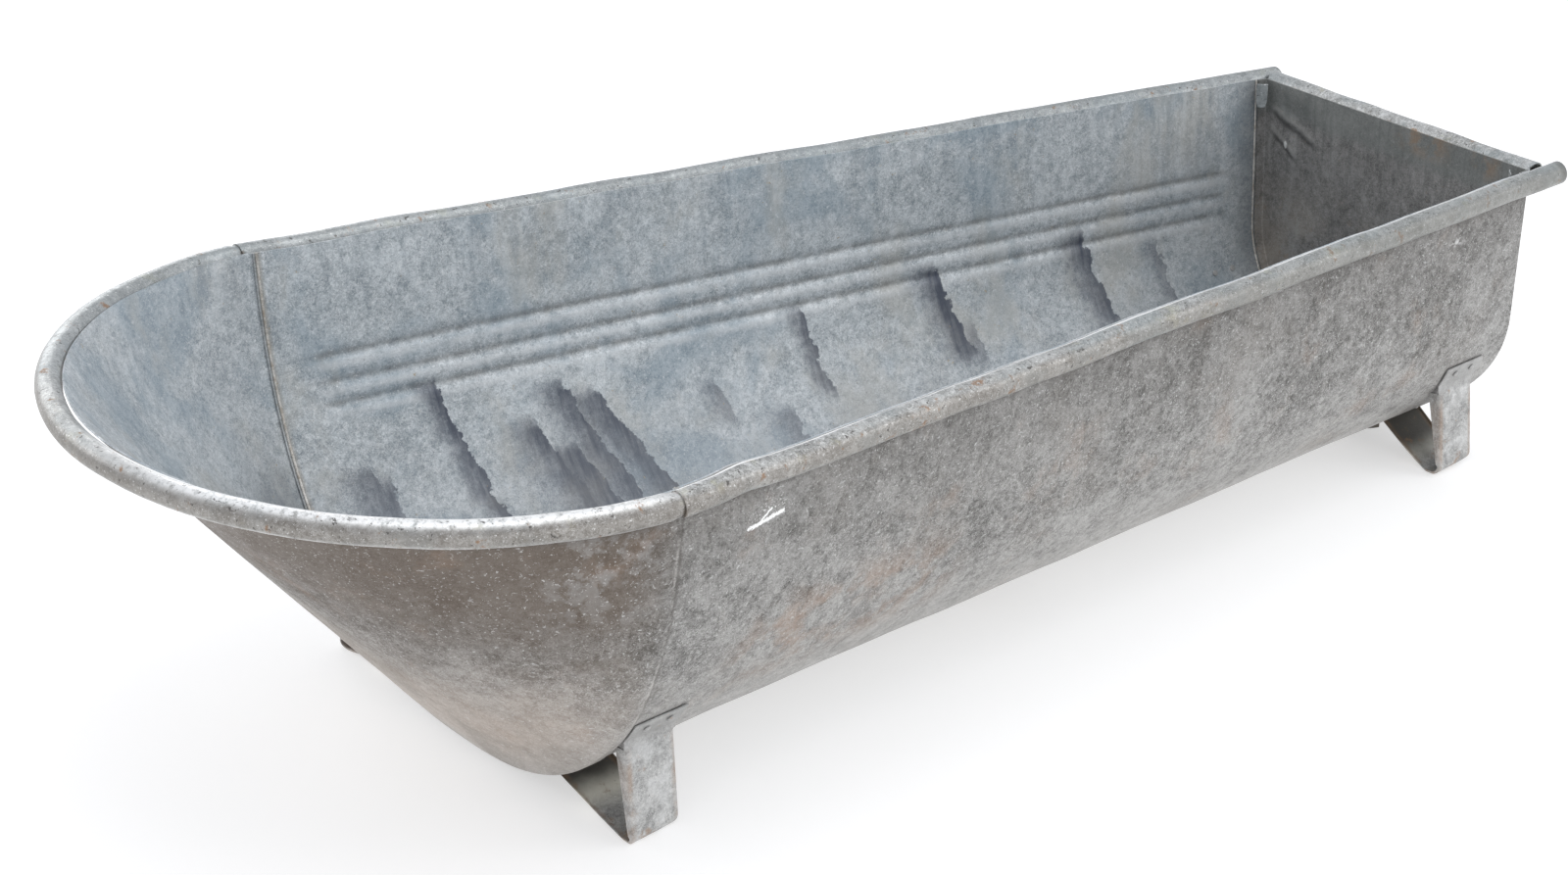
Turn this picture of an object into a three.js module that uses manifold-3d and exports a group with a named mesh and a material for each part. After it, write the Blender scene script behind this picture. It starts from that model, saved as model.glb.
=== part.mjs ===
// A galvanised sheet-metal livestock trough: a tapered tub with a rounded bottom, one sloping
// round end, one upright flat end, a hollow tube rim and two riveted strap feet.
// Millimetres, +Z up. The origin is on the floor, under the middle of the overall length and width.
// +X runs from the round end to the flat end.
import * as THREE from 'three';
import { mergeVertices } from 'three/addons/utils/BufferGeometryUtils.js';
import Module from 'manifold-3d';

const wasm = await Module();
wasm.setup();

// ---- driving dimensions -------------------------------------------------------------------
const SHEET = 1.5;              // thickness of every sheet
const GAP = 0.3;                // air between touching pieces
const RIM_R = 12;               // outer radius of the rim tube
const RIM_WALL = 1.5;
const RIM_SIDES = 16;
const BODY_LENGTH = 1210;       // seam at the round end to the flat end
const NOSE_LENGTH = 324;        // how far the sloping end reaches past the seam, at the rim
const WIDE_HALF = 325;          // rim half width inside the tube, at the seam
const NARROW_HALF = 188;        // the same at the flat end
const SEAM_RIM_HEIGHT = 387;    // top of the rim above the floor, at the seam
const RIM_FALL = 0.046;         // the rim drops this much for each unit of length
const WIDE_DEPTH = 375;         // rim top to the outside of the bottom, at the seam
const NARROW_DEPTH = 317;
const WIDE_LEAN = 0.08;         // how far the wall leans in for each unit of depth
const NARROW_LEAN = 0.04;
const NARROW_ROUND = 146;       // height of the rounded part; at the seam it is the whole depth
const WIDE_POWER = 2.5;         // exponents of the superellipse that the section rounds by
const NARROW_POWER = 2.0;
const NEAR_OVERHANG = 12;       // how far the side tubes pass the end tube
const FAR_OVERHANG = 3;
const EDGE_BELOW_RIM = 6;       // the wall sheets stop this far below the top of the rim
const LAP = 10;                 // the round end's sheet laps over the body's sheet
const END_FLANGE = 12;
const BEAD_WIDTH = 5;
const BEAD_HEIGHT = 1.2;
const RIB_DEPTH = 3;
const RIB_HALF_WIDTH = 6;
const RIB_SOFT = 4.5;           // a rib's cross-section is a bell of this width
const RIB_CLEAR = 14;           // the wall is plain down to this far above the first rib
const RIB_DEPTHS_WIDE = [117, 142, 163];
const RIB_DEPTHS_NARROW = [108, 133, 156];
const RIB_START = 40;
const RIB_END = 1160;
const RIB_FADE = 35;
const STRAP_WIDTH = 57;
const RIVET_R = 2;
const RIVET_HEAD_R = 3.6;
const RIVET_PITCH = 26;
const TAB_WIDTH = 11;           // the small tabs at the flat end's corners
const TAB_HEIGHT = 28;
const TAB_INSET = 17;
const TAB_CURL = 1.5;

// each foot: start of its strap, plate position at the floor, its lean, where its return meets
// the belly, and the height of its lap's upper edge
const NOSE_FOOT = { name: 'nose_foot', x: 15, plate: 232, lean: 0.07, touch: 119, lapTop: 124 };
const END_FOOT = { name: 'end_foot', x: 1117, plate: 178, lean: 0.1, touch: 98, lapTop: 124 };

const SEAM_X = (NOSE_LENGTH - BODY_LENGTH - NEAR_OVERHANG) / 2;
const TAPER = (WIDE_HALF - NARROW_HALF) / BODY_LENGTH;
const lerp = THREE.MathUtils.lerp;
const clamp = THREE.MathUtils.clamp;

// ---- finishes -----------------------------------------------------------------------------
const zincSheet = new THREE.MeshStandardMaterial({ color: 0x9a9fa3, metalness: 0.75, roughness: 0.5 });
const zincRim = new THREE.MeshStandardMaterial({ color: 0xa6a9aa, metalness: 0.75, roughness: 0.45 });
const footSteel = new THREE.MeshStandardMaterial({ color: 0xa9a8a3, metalness: 0.6, roughness: 0.6 });
const solder = new THREE.MeshStandardMaterial({ color: 0xb2b1ab, metalness: 0.7, roughness: 0.4 });

const trough = new THREE.Group();

function addPiece(name, geometry, material) {
  const mesh = new THREE.Mesh(geometry, material);
  mesh.name = name;
  trough.add(mesh);
  return mesh;
}

// ---- mesh helpers -------------------------------------------------------------------------
function signedVolume(geometry) {
  const p = geometry.attributes.position;
  const index = geometry.index;
  const [a, b, c] = [new THREE.Vector3(), new THREE.Vector3(), new THREE.Vector3()];
  let total = 0;
  for (let i = 0; i < index.count; i += 3) {
    a.fromBufferAttribute(p, index.getX(i));
    b.fromBufferAttribute(p, index.getX(i + 1));
    c.fromBufferAttribute(p, index.getX(i + 2));
    total += a.dot(b.cross(c)) / 6;
  }
  return total;
}

// shared vertices merged, faces pointing out
function closedMesh(geometry) {
  geometry.deleteAttribute('normal');
  geometry.deleteAttribute('uv');
  const merged = mergeVertices(geometry, 1e-4);
  if (signedVolume(merged) < 0) {
    merged.setIndex(Array.from(merged.index.array).reverse());
  }
  merged.computeVertexNormals();
  return merged;
}

function toSolid(geometry) {
  const plain = closedMesh(geometry.clone());
  return new wasm.Manifold(new wasm.Mesh({
    numProp: 3,
    vertProperties: new Float32Array(plain.attributes.position.array),
    triVerts: new Uint32Array(plain.index.array),
  }));
}

function fromSolid(solid) {
  const mesh = solid.getMesh();
  const geometry = new THREE.BufferGeometry();
  geometry.setAttribute('position', new THREE.BufferAttribute(mesh.vertProperties, 3));
  geometry.setIndex(new THREE.BufferAttribute(mesh.triVerts, 1));
  geometry.computeVertexNormals();
  return geometry;
}

// A bent sheet: a thin box whose big face is laid on the grid point(i, j), i = 0..nu, j = 0..nv.
// The other face is offset by the thickness, along the grid's own normal.
function bentSheet(nu, nv, point, thickness) {
  const grid = [];
  for (let i = 0; i <= nu; i++) {
    grid.push([]);
    for (let j = 0; j <= nv; j++) {
      grid[i].push(point(i, j));
    }
  }
  const normalAt = (i, j) => {
    const along = grid[Math.min(i + 1, nu)][j].clone().sub(grid[Math.max(i - 1, 0)][j]);
    const across = grid[i][Math.min(j + 1, nv)].clone().sub(grid[i][Math.max(j - 1, 0)]);
    return along.cross(across).normalize();
  };
  const box = new THREE.BoxGeometry(1, 1, 1, nu, nv, 1);
  const p = box.attributes.position;
  for (let k = 0; k < p.count; k++) {
    const i = Math.round((p.getX(k) + 0.5) * nu);
    const j = Math.round((p.getY(k) + 0.5) * nv);
    const spot = grid[i][j].clone();
    if (p.getZ(k) < 0) {
      spot.addScaledVector(normalAt(i, j), thickness);
    }
    p.setXYZ(k, spot.x, spot.y, spot.z);
  }
  return closedMesh(box);
}

// ---- the tub's form -----------------------------------------------------------------------
// x is measured from the seam, depth from the top of the rim.
const rimHeight = (x) => SEAM_RIM_HEIGHT - RIM_FALL * x;

function sectionAt(x) {
  const k = x / BODY_LENGTH;
  return {
    half: lerp(WIDE_HALF - SHEET, NARROW_HALF, k) - 2 * GAP,
    depth: lerp(WIDE_DEPTH, NARROW_DEPTH, k),
    lean: lerp(WIDE_LEAN, NARROW_LEAN, k),
    round: lerp(WIDE_DEPTH, NARROW_ROUND, k),
    power: lerp(WIDE_POWER, NARROW_POWER, k),
  };
}

// half width of the outer face at a depth: a leaning wall that rounds into the bottom
function halfWidth(x, depth) {
  const s = sectionAt(x);
  const q = clamp((depth - (s.depth - s.round)) / s.round, 0, 1);
  return (s.half - s.lean * depth) * Math.pow(1 - Math.pow(q, s.power), 1 / s.power);
}

// depth of the outer face at a half width, for the parts that lie under the belly
function depthAt(x, half) {
  let low = 0;
  let high = sectionAt(x).depth;
  for (let i = 0; i < 40; i++) {
    const mid = (low + high) / 2;
    if (halfWidth(x, mid) > half) {
      low = mid;
    } else {
      high = mid;
    }
  }
  return low;
}

const ribDepth = (n, x) => lerp(RIB_DEPTHS_WIDE[n], RIB_DEPTHS_NARROW[n], x / BODY_LENGTH);

// The section's rows, from the rim down: three groups of rows follow the ribs, the rest are
// spaced evenly by angle around the rounded bottom.
const WALL_ROWS = 17;
const ROUND_ROWS = 14;
const SECTION_ROWS = WALL_ROWS + ROUND_ROWS;
function rowDepth(x, row) {
  const s = sectionAt(x);
  if (row < 3) {
    return lerp(EDGE_BELOW_RIM, ribDepth(0, x) - RIB_CLEAR, row / 3);
  }
  if (row < WALL_ROWS) {
    const n = Math.min(Math.floor((row - 3) / 5), 2);
    const step = (row - 3) - n * 5 - 2;
    return ribDepth(n, x) + step * RIB_SOFT;
  }
  const start = ribDepth(2, x) + 2 * RIB_HALF_WIDTH;
  const low = Math.max(start, s.depth - s.round);
  const q0 = (low - (s.depth - s.round)) / s.round;
  const angle0 = Math.asin(Math.pow(q0, s.power / 2));
  const angle = lerp(angle0, Math.PI / 2, (row - WALL_ROWS) / ROUND_ROWS);
  return s.depth - s.round + s.round * Math.pow(Math.sin(angle), 2 / s.power);
}

// j runs from the near rim (0) under the belly to the far rim (2 * SECTION_ROWS)
function bodyPoint(x, j) {
  const side = j <= SECTION_ROWS ? -1 : 1;
  const row = side < 0 ? j : 2 * SECTION_ROWS - j;
  const depth = rowDepth(x, row);
  const half = row === SECTION_ROWS ? 0 : halfWidth(x, depth);
  return new THREE.Vector3(SEAM_X + x, side * half, rimHeight(x) - depth);
}

function outward(x, j) {
  const a = bodyPoint(x, Math.max(j - 1, 0));
  const b = bodyPoint(x, Math.min(j + 1, 2 * SECTION_ROWS));
  return new THREE.Vector3(0, b.z - a.z, a.y - b.y).normalize();
}

// how far the far wall is pressed out by its three ribs
function ribPress(x, j) {
  if (j <= SECTION_ROWS) {
    return 0;
  }
  const depth = rowDepth(x, 2 * SECTION_ROWS - j);
  const ends = Math.min((x - RIB_START) / RIB_FADE, (RIB_END - x) / RIB_FADE);
  let press = 0;
  for (let n = 0; n < 3; n++) {
    press += Math.exp(-Math.pow((depth - ribDepth(n, x)) / RIB_SOFT, 2));
  }
  return RIB_DEPTH * press * THREE.MathUtils.smoothstep(ends, 0, 1);
}

// ---- walls --------------------------------------------------------------------------------
const SHELL_STATIONS = [0, 40, 75, 300, 600, 900, 1125, 1160, 1210];

function shellSheet() {
  const point = (i, j) => {
    const x = SHELL_STATIONS[i];
    return bodyPoint(x, j).addScaledVector(outward(x, j), ribPress(x, j));
  };
  return bentSheet(SHELL_STATIONS.length - 1, 2 * SECTION_ROWS, point, SHEET);
}

// The sloping end is one bent sheet whose straight lines join the rim's half ellipse to the
// body's section; its back edge laps over the outside of the body.
const NOSE_STEPS = 4;
const NOSE_BEND = 2;            // the sheet bends this far before the body's front edge
const NOSE_TOP_EDGE = 4;        // and is this much longer along the rim
function nosePoint(i, j) {
  const clearance = SHEET + GAP;
  const seam = bodyPoint(0, j).addScaledVector(outward(0, j), clearance);
  if (i === NOSE_STEPS + 1) {
    return bodyPoint(LAP, j).addScaledVector(outward(LAP, j), clearance);
  }
  seam.x -= NOSE_BEND;
  const rise = clamp((SEAM_RIM_HEIGHT - EDGE_BELOW_RIM - bodyPoint(0, j).z) / WIDE_DEPTH, 0, 1);
  const angle = Math.atan2(Math.abs(bodyPoint(0, j).y) / WIDE_HALF, rise);
  const side = Math.sign(j - SECTION_ROWS);
  const reach = -NOSE_TOP_EDGE - (NOSE_LENGTH - GAP - NOSE_TOP_EDGE) * Math.cos(angle);
  const rim = new THREE.Vector3(
    SEAM_X + reach,
    side * (WIDE_HALF - GAP) * Math.sin(angle),
    rimHeight(reach) - EDGE_BELOW_RIM,
  );
  return rim.lerp(seam, i / NOSE_STEPS);
}

// the U-shaped strip between two stations, inside or outside the body by a given distance
function sectionStrip(x0, x1, inset, thickness) {
  const point = (i, j) => {
    const x = i === 0 ? x0 : x1;
    return bodyPoint(x, j).addScaledVector(outward(x, j), -inset);
  };
  return bentSheet(1, 2 * SECTION_ROWS, point, thickness);
}

function endSheet() {
  const inset = SHEET + GAP;
  const outline = new THREE.Shape();
  for (let j = 0; j <= 2 * SECTION_ROWS; j++) {
    const spot = bodyPoint(BODY_LENGTH, j).addScaledVector(outward(BODY_LENGTH, j), -inset);
    if (j === 0) {
      outline.moveTo(spot.y, spot.z);
    } else {
      outline.lineTo(spot.y, spot.z);
    }
  }
  outline.closePath();
  const plate = new THREE.ExtrudeGeometry(outline, { depth: SHEET, bevelEnabled: false });
  const upright = new THREE.Matrix4().makeBasis(
    new THREE.Vector3(0, 1, 0), new THREE.Vector3(0, 0, 1), new THREE.Vector3(1, 0, 0));
  plate.applyMatrix4(upright);
  plate.translate(SEAM_X + BODY_LENGTH - SHEET, 0, 0);
  const flange = sectionStrip(BODY_LENGTH - END_FLANGE, BODY_LENGTH, inset, SHEET);
  return fromSolid(toSolid(plate).add(toSolid(flange)));
}

// ---- rim ----------------------------------------------------------------------------------
function ringShape() {
  const ring = new THREE.Shape();
  ring.absarc(0, 0, RIM_R, 0, 2 * Math.PI);
  const bore = new THREE.Path();
  bore.absarc(0, 0, RIM_R - RIM_WALL, 0, 2 * Math.PI, true);
  ring.holes.push(bore);
  return ring;
}

// a tube whose end faces are both parallel to the plane of its ring
function straightTube(start, end, ringX, ringY) {
  const options = { depth: 1, steps: 1, bevelEnabled: false, curveSegments: RIM_SIDES / 2 };
  const tube = new THREE.ExtrudeGeometry(ringShape(), options);
  const along = new THREE.Matrix4().makeBasis(ringX, ringY, end.clone().sub(start));
  along.setPosition(start);
  tube.applyMatrix4(along);
  return closedMesh(tube);
}

function sideRim(side, overhang) {
  const start = new THREE.Vector3(SEAM_X + 1, side * (WIDE_HALF + RIM_R), rimHeight(1) - RIM_R);
  const endX = BODY_LENGTH + 2 * RIM_R + overhang;
  const endY = WIDE_HALF - TAPER * endX + RIM_R;
  const end = new THREE.Vector3(SEAM_X + endX, side * endY, rimHeight(endX) - RIM_R);
  return straightTube(start, end, new THREE.Vector3(0, 1, 0), new THREE.Vector3(0, 0, 1));
}

function endRim() {
  const x = BODY_LENGTH + GAP + RIM_R;
  const half = WIDE_HALF - TAPER * (x + RIM_R) - GAP;
  const z = rimHeight(x) - RIM_R;
  return straightTube(
    new THREE.Vector3(SEAM_X + x, -half, z), new THREE.Vector3(SEAM_X + x, half, z),
    new THREE.Vector3(1, 0, 0), new THREE.Vector3(0, 0, 1));
}

class NoseRimCurve extends THREE.Curve {
  getPoint(t, target = new THREE.Vector3()) {
    const angle = Math.PI * (t - 0.5);
    const x = -(NOSE_LENGTH + RIM_R) * Math.cos(angle);
    return target.set(SEAM_X + x, (WIDE_HALF + RIM_R) * Math.sin(angle), rimHeight(x) - RIM_R);
  }
}

function noseRim() {
  const options = {
    steps: 32, bevelEnabled: false, curveSegments: RIM_SIDES / 2, extrudePath: new NoseRimCurve(),
  };
  return closedMesh(new THREE.ExtrudeGeometry(ringShape(), options));
}

// a small folded tab that bridges the rim at each corner of the flat end
function cornerTab(side) {
  const point = (i, j) => {
    const across = (i / 2 - 0.5) * TAB_WIDTH;
    const curl = i === 1 ? TAB_CURL : 0;
    return new THREE.Vector3(across, curl, -j * TAB_HEIGHT / 3);
  };
  const tab = bentSheet(2, 3, point, SHEET);
  tab.rotateZ(-side * Math.PI / 4 + (side > 0 ? 0 : Math.PI));
  tab.translate(
    SEAM_X + BODY_LENGTH - TAB_INSET,
    side * (NARROW_HALF - TAB_INSET + 4),
    rimHeight(BODY_LENGTH) - EDGE_BELOW_RIM,
  );
  return tab;
}

// ---- feet ---------------------------------------------------------------------------------
const LAP_ROWS = 5;
const PLATE_ROWS = 3;
const FOLD_ROWS = 4;
const RETURN_ROWS = 4;
const LEG_ROWS = LAP_ROWS + PLATE_ROWS + FOLD_ROWS + RETURN_ROWS + 1;
const FOLD_R = 9;
const TREAD = 10;               // the flat that stands on the floor
const LAP_HEIGHT = 32;
const OFF_SKIN = 1.6 * (GAP + SHEET); // the lap's outer face stands this far off the wall
const RETURN_BOW = 1.12;        // the return bows a little on its way up to the belly
const LIP_TOP = 15;             // the turned-in edges, at the plate's top, its foot and beyond
const LIP_FOOT = 5;
const LIP_REST = 3;
const EDGE_EASE = 1.2;          // how far an edge is eased beside its bend

// half width and height of the leg's outer face, row j, from the lap's top edge to the belly
function legProfile(foot, x, j) {
  const middle = foot.x + STRAP_WIDTH / 2;
  const plate = foot.plate - TAPER * (x - middle);
  const rim = rimHeight(x);
  const plateTop = foot.lapTop - LAP_HEIGHT;
  if (j <= LAP_ROWS + PLATE_ROWS) {
    const height = j <= LAP_ROWS
      ? lerp(foot.lapTop, plateTop, j / LAP_ROWS)
      : lerp(plateTop, FOLD_R, (j - LAP_ROWS) / PLATE_ROWS);
    const onBody = halfWidth(x, rim - height) + OFF_SKIN;
    return [Math.max(onBody, plate - foot.lean * height), height];
  }
  const foldY = plate - foot.lean * FOLD_R - FOLD_R;
  if (j <= LAP_ROWS + PLATE_ROWS + FOLD_ROWS) {
    const angle = (j - LAP_ROWS - PLATE_ROWS) / FOLD_ROWS * Math.PI / 2;
    return [foldY + FOLD_R * Math.cos(angle), FOLD_R * (1 - Math.sin(angle))];
  }
  const treadEnd = foldY - TREAD;
  const t = (j - LAP_ROWS - PLATE_ROWS - FOLD_ROWS - 1) / RETURN_ROWS;
  const belly = rim - depthAt(x, foot.touch) - GAP - SHEET;
  return [lerp(treadEnd, foot.touch, t), lerp(0, belly - 1, Math.pow(t, RETURN_BOW))];
}

// depth of the turned-in edges: none on the lap, deepest at the plate's top, shallow at the fold
function lipDepth(j) {
  if (j <= LAP_ROWS) {
    return 0;
  }
  if (j <= LAP_ROWS + PLATE_ROWS) {
    return lerp(LIP_TOP, LIP_FOOT, (j - LAP_ROWS) / PLATE_ROWS);
  }
  return LIP_REST;
}

function legSheet(foot, side) {
  const columns = [0, 0, 2, STRAP_WIDTH / 2, STRAP_WIDTH - 2, STRAP_WIDTH, STRAP_WIDTH];
  const turnIn = [1, 0, 0, 0, 0, 0, 1];
  const corner = [0, 1, 0, 0, 0, 1, 0];
  const point = (i, j) => {
    const x = foot.x + columns[i];
    const [y, z] = legProfile(foot, x, j);
    const before = legProfile(foot, x, Math.max(j - 1, 0));
    const after = legProfile(foot, x, Math.min(j + 1, LEG_ROWS));
    const inward = new THREE.Vector2(after[1] - before[1], before[0] - after[0]).normalize();
    const lip = lipDepth(j);
    const flat = turnIn[i] && lip === 0 ? EDGE_EASE : 0;
    const inset = turnIn[i] * lip + corner[i] * (lip > 0 ? EDGE_EASE : 0);
    const edge = i < 3 ? -flat : flat;
    return new THREE.Vector3(
      SEAM_X + x + edge, side * (y + inward.x * inset), z + inward.y * inset);
  };
  return bentSheet(columns.length - 1, LEG_ROWS, point, -side * SHEET);
}

// a shallow channel under the belly that joins the two legs of a foot
function cradleSheet(foot) {
  const steps = 10;
  const columns = [0, 0, 2, STRAP_WIDTH / 2, STRAP_WIDTH - 2, STRAP_WIDTH, STRAP_WIDTH];
  const drop = [6, 1.5, 0, 0, 0, 1.5, 6];
  const reach = foot.touch - 4;
  const point = (i, j) => {
    const x = foot.x + columns[i];
    const y = lerp(-reach, reach, j / steps);
    const z = rimHeight(x) - depthAt(x, Math.abs(y)) - 1.5 * GAP - SHEET - drop[i];
    return new THREE.Vector3(SEAM_X + x, y, z);
  };
  return bentSheet(columns.length - 1, steps, point, SHEET);
}

// ---- rivets -------------------------------------------------------------------------------
function rivetPlace(foot, side, n) {
  const x = foot.x + STRAP_WIDTH / 2 + (n - 0.5) * RIVET_PITCH;
  const height = foot.lapTop - 8;
  const depth = rimHeight(x) - height;
  const slope = (halfWidth(x, depth + 1) - halfWidth(x, depth - 1)) / 2;
  const direction = new THREE.Vector3(TAPER, side, slope).normalize();
  const skin = new THREE.Vector3(SEAM_X + x, side * halfWidth(x, depth), height);
  const turn = new THREE.Quaternion().setFromUnitVectors(new THREE.Vector3(0, 1, 0), direction);
  return { skin, turn };
}

function placed(geometry, place) {
  return geometry.applyQuaternion(place.turn).translate(place.skin.x, place.skin.y, place.skin.z);
}

// a solid rivet with a domed head outside and a flat one inside, turned about its own axis
function rivetBody(place) {
  const outer = OFF_SKIN + 2 * GAP;
  const inner = -SHEET - 2 * GAP;
  const profile = [
    [0, inner - 1.2], [RIVET_HEAD_R - 0.6, inner - 1], [RIVET_HEAD_R - 0.3, inner],
    [RIVET_R, inner], [RIVET_R, outer], [RIVET_HEAD_R, outer],
    [RIVET_HEAD_R * 0.8, outer + 1.2], [0, outer + 1.8],
  ].map(([r, h]) => new THREE.Vector2(r, h));
  return closedMesh(placed(new THREE.LatheGeometry(profile, 10), place));
}

function rivetHole(place) {
  const drill = new THREE.CylinderGeometry(RIVET_R + GAP, RIVET_R + GAP, 20, 12);
  return toSolid(placed(drill, place));
}

function drilled(geometry, places) {
  let solid = toSolid(geometry);
  for (const place of places) {
    solid = solid.subtract(rivetHole(place));
  }
  return fromSolid(solid);
}

// ---- assembly -----------------------------------------------------------------------------
const allRivets = [];
for (const foot of [NOSE_FOOT, END_FOOT]) {
  addPiece(`${foot.name}_cradle`, cradleSheet(foot), footSteel);
  for (const [word, side] of [['near', -1], ['far', 1]]) {
    const places = [0, 1].map((n) => rivetPlace(foot, side, n));
    allRivets.push(...places);
    addPiece(`${foot.name}_${word}_leg`, drilled(legSheet(foot, side), places), footSteel);
    places.forEach((place, n) => {
      addPiece(`${foot.name}_${word}_rivet_${n + 1}`, rivetBody(place), footSteel);
    });
  }
}

addPiece('body_sheet', drilled(shellSheet(), allRivets), zincSheet);
addPiece('nose_sheet', bentSheet(NOSE_STEPS + 1, 2 * SECTION_ROWS, nosePoint, SHEET), zincSheet);
addPiece('end_sheet', endSheet(), zincSheet);
const beadInset = SHEET + GAP;
addPiece('nose_seam_bead', sectionStrip(0.5, 0.5 + BEAD_WIDTH, beadInset, BEAD_HEIGHT), solder);
const beadEnd = BODY_LENGTH - END_FLANGE - GAP;
addPiece('end_seam_bead', sectionStrip(beadEnd - BEAD_WIDTH, beadEnd, beadInset, BEAD_HEIGHT), solder);

addPiece('nose_rim_tube', noseRim(), zincRim);
addPiece('near_rim_tube', sideRim(-1, NEAR_OVERHANG), zincRim);
addPiece('far_rim_tube', sideRim(1, FAR_OVERHANG), zincRim);
addPiece('end_rim_tube', endRim(), zincRim);
addPiece('near_corner_tab', cornerTab(-1), zincSheet);
addPiece('far_corner_tab', cornerTab(1), zincSheet);

export default trough;
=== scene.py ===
# %% [markdown]
# # A galvanised livestock trough
# The trough is made of bent zinc-coated sheet: a long body, a sloping round end and an upright
# flat end, with a hollow rolled rim and two folded strap feet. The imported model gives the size
# and place of each part. This lesson rebuilds each of them as fine, slightly hand-beaten sheet
# and gives it weathered zinc, which is what one sees of the real thing.

# %% Load the frame
import math

import bpy
from mathutils import Matrix, Vector, noise


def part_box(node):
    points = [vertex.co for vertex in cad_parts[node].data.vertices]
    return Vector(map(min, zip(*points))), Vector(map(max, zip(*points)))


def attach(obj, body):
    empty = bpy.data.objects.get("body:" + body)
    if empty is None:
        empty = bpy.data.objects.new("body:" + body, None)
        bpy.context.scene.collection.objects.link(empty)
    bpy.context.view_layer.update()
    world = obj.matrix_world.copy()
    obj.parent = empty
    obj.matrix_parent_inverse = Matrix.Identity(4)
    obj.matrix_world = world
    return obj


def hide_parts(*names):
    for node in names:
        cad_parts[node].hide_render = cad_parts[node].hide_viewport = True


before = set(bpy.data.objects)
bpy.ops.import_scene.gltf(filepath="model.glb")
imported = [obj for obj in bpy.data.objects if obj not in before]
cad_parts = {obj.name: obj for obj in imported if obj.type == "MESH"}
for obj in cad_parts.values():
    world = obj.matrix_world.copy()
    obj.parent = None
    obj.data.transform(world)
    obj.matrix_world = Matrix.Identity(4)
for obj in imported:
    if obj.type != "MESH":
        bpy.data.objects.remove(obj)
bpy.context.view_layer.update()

print("nodes:", len(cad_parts))

# %% [markdown]
# Everything is in metres. The driving sizes are those of the sheet work itself; places along
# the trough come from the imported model, so that a fine piece lands where the plain one was.

# %% Driving sizes
MM = 0.001
SHEET = 1.5 * MM
GAP = 0.3 * MM
RIM_R = 12 * MM
RIM_WALL = 1.5 * MM
WIDE_HALF = 325 * MM
NARROW_HALF = 188 * MM
SEAM_RIM_HEIGHT = 387 * MM
RIM_FALL = 0.046
WIDE_DEPTH = 375 * MM
NARROW_DEPTH = 317 * MM
EDGE_BELOW_RIM = 6 * MM
END_FLANGE = 12 * MM
LAP = 10 * MM
SIDES = (("near", -1), ("far", 1))

SEAM_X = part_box("body_sheet")[0].x
BODY_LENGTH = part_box("body_sheet")[1].x - SEAM_X
NOSE_LENGTH = SEAM_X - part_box("nose_rim_tube")[0].x - 2 * RIM_R
TAPER = (WIDE_HALF - NARROW_HALF) / BODY_LENGTH
RIBS_WIDE = [117 * MM, 142 * MM, 163 * MM]
RIBS_NARROW = [108 * MM, 133 * MM, 156 * MM]
print(f"seam at {SEAM_X:.4f}, body {BODY_LENGTH:.4f}, nose {NOSE_LENGTH:.4f}")

# %% [markdown]
# The camera stands a little above the rim, off the round end's near corner, with a long lens,
# so that one sees into the tub and along its near wall. Camera and stage come first, because
# every later choice is judged through them.

# %% Camera
SENSOR = 36.0
LENS = 79.0
CAMERA_PLACE = Vector((SEAM_X - 1.4795, -2.2917, SEAM_RIM_HEIGHT + 1.1894))
CAMERA_YAW = 0.680
CAMERA_PITCH = 0.437
camera_data = bpy.data.cameras.new("camera")
camera_data.lens = LENS
camera_data.sensor_width = SENSOR
camera = bpy.data.objects.new("camera", camera_data)
bpy.context.scene.collection.objects.link(camera)
camera.location = CAMERA_PLACE
camera.rotation_euler = (math.pi / 2 - CAMERA_PITCH, 0, -CAMERA_YAW)
bpy.context.scene.camera = camera
print("camera at", tuple(round(c, 3) for c in camera.location))

# %% [markdown]
# The stage is a wide pale floor and four soft lamps: a broad one overhead, one from the right, a
# low one in front that fills the near wall, and a strip behind that draws the far rim. A plain
# floor would be simpler, but the shadow on it would be heavy. This one glows a little, so that
# the shadow stays faint.

# %% Stage
FLOOR_SIZE = 120
FLOOR_GLOW = 0.50
SKY_STRENGTH = 0.86


def add_floor():
    bpy.ops.object.select_all(action="DESELECT")
    bpy.ops.mesh.primitive_plane_add(size=FLOOR_SIZE, location=(0, 0, 0))
    floor = bpy.context.object
    floor.name = "floor"
    pale = bpy.data.materials.new("pale_floor")
    pale.use_nodes = True
    shader = pale.node_tree.nodes["Principled BSDF"]
    shader.inputs["Base Color"].default_value = (0.58, 0.58, 0.58, 1)
    shader.inputs["Emission Color"].default_value = (1, 1, 1, 1)
    shader.inputs["Emission Strength"].default_value = FLOOR_GLOW
    shader.inputs["Roughness"].default_value = 0.9
    floor.data.materials.append(pale)


def add_lamp(name, place, aim, size, power):
    data = bpy.data.lights.new(name, "AREA")
    data.shape = "RECTANGLE"
    data.size, data.size_y = size
    data.energy = power
    lamp = bpy.data.objects.new(name, data)
    bpy.context.scene.collection.objects.link(lamp)
    lamp.location = place
    lamp.rotation_euler = (Vector(aim) - Vector(place)).to_track_quat("-Z", "Y").to_euler()


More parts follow.
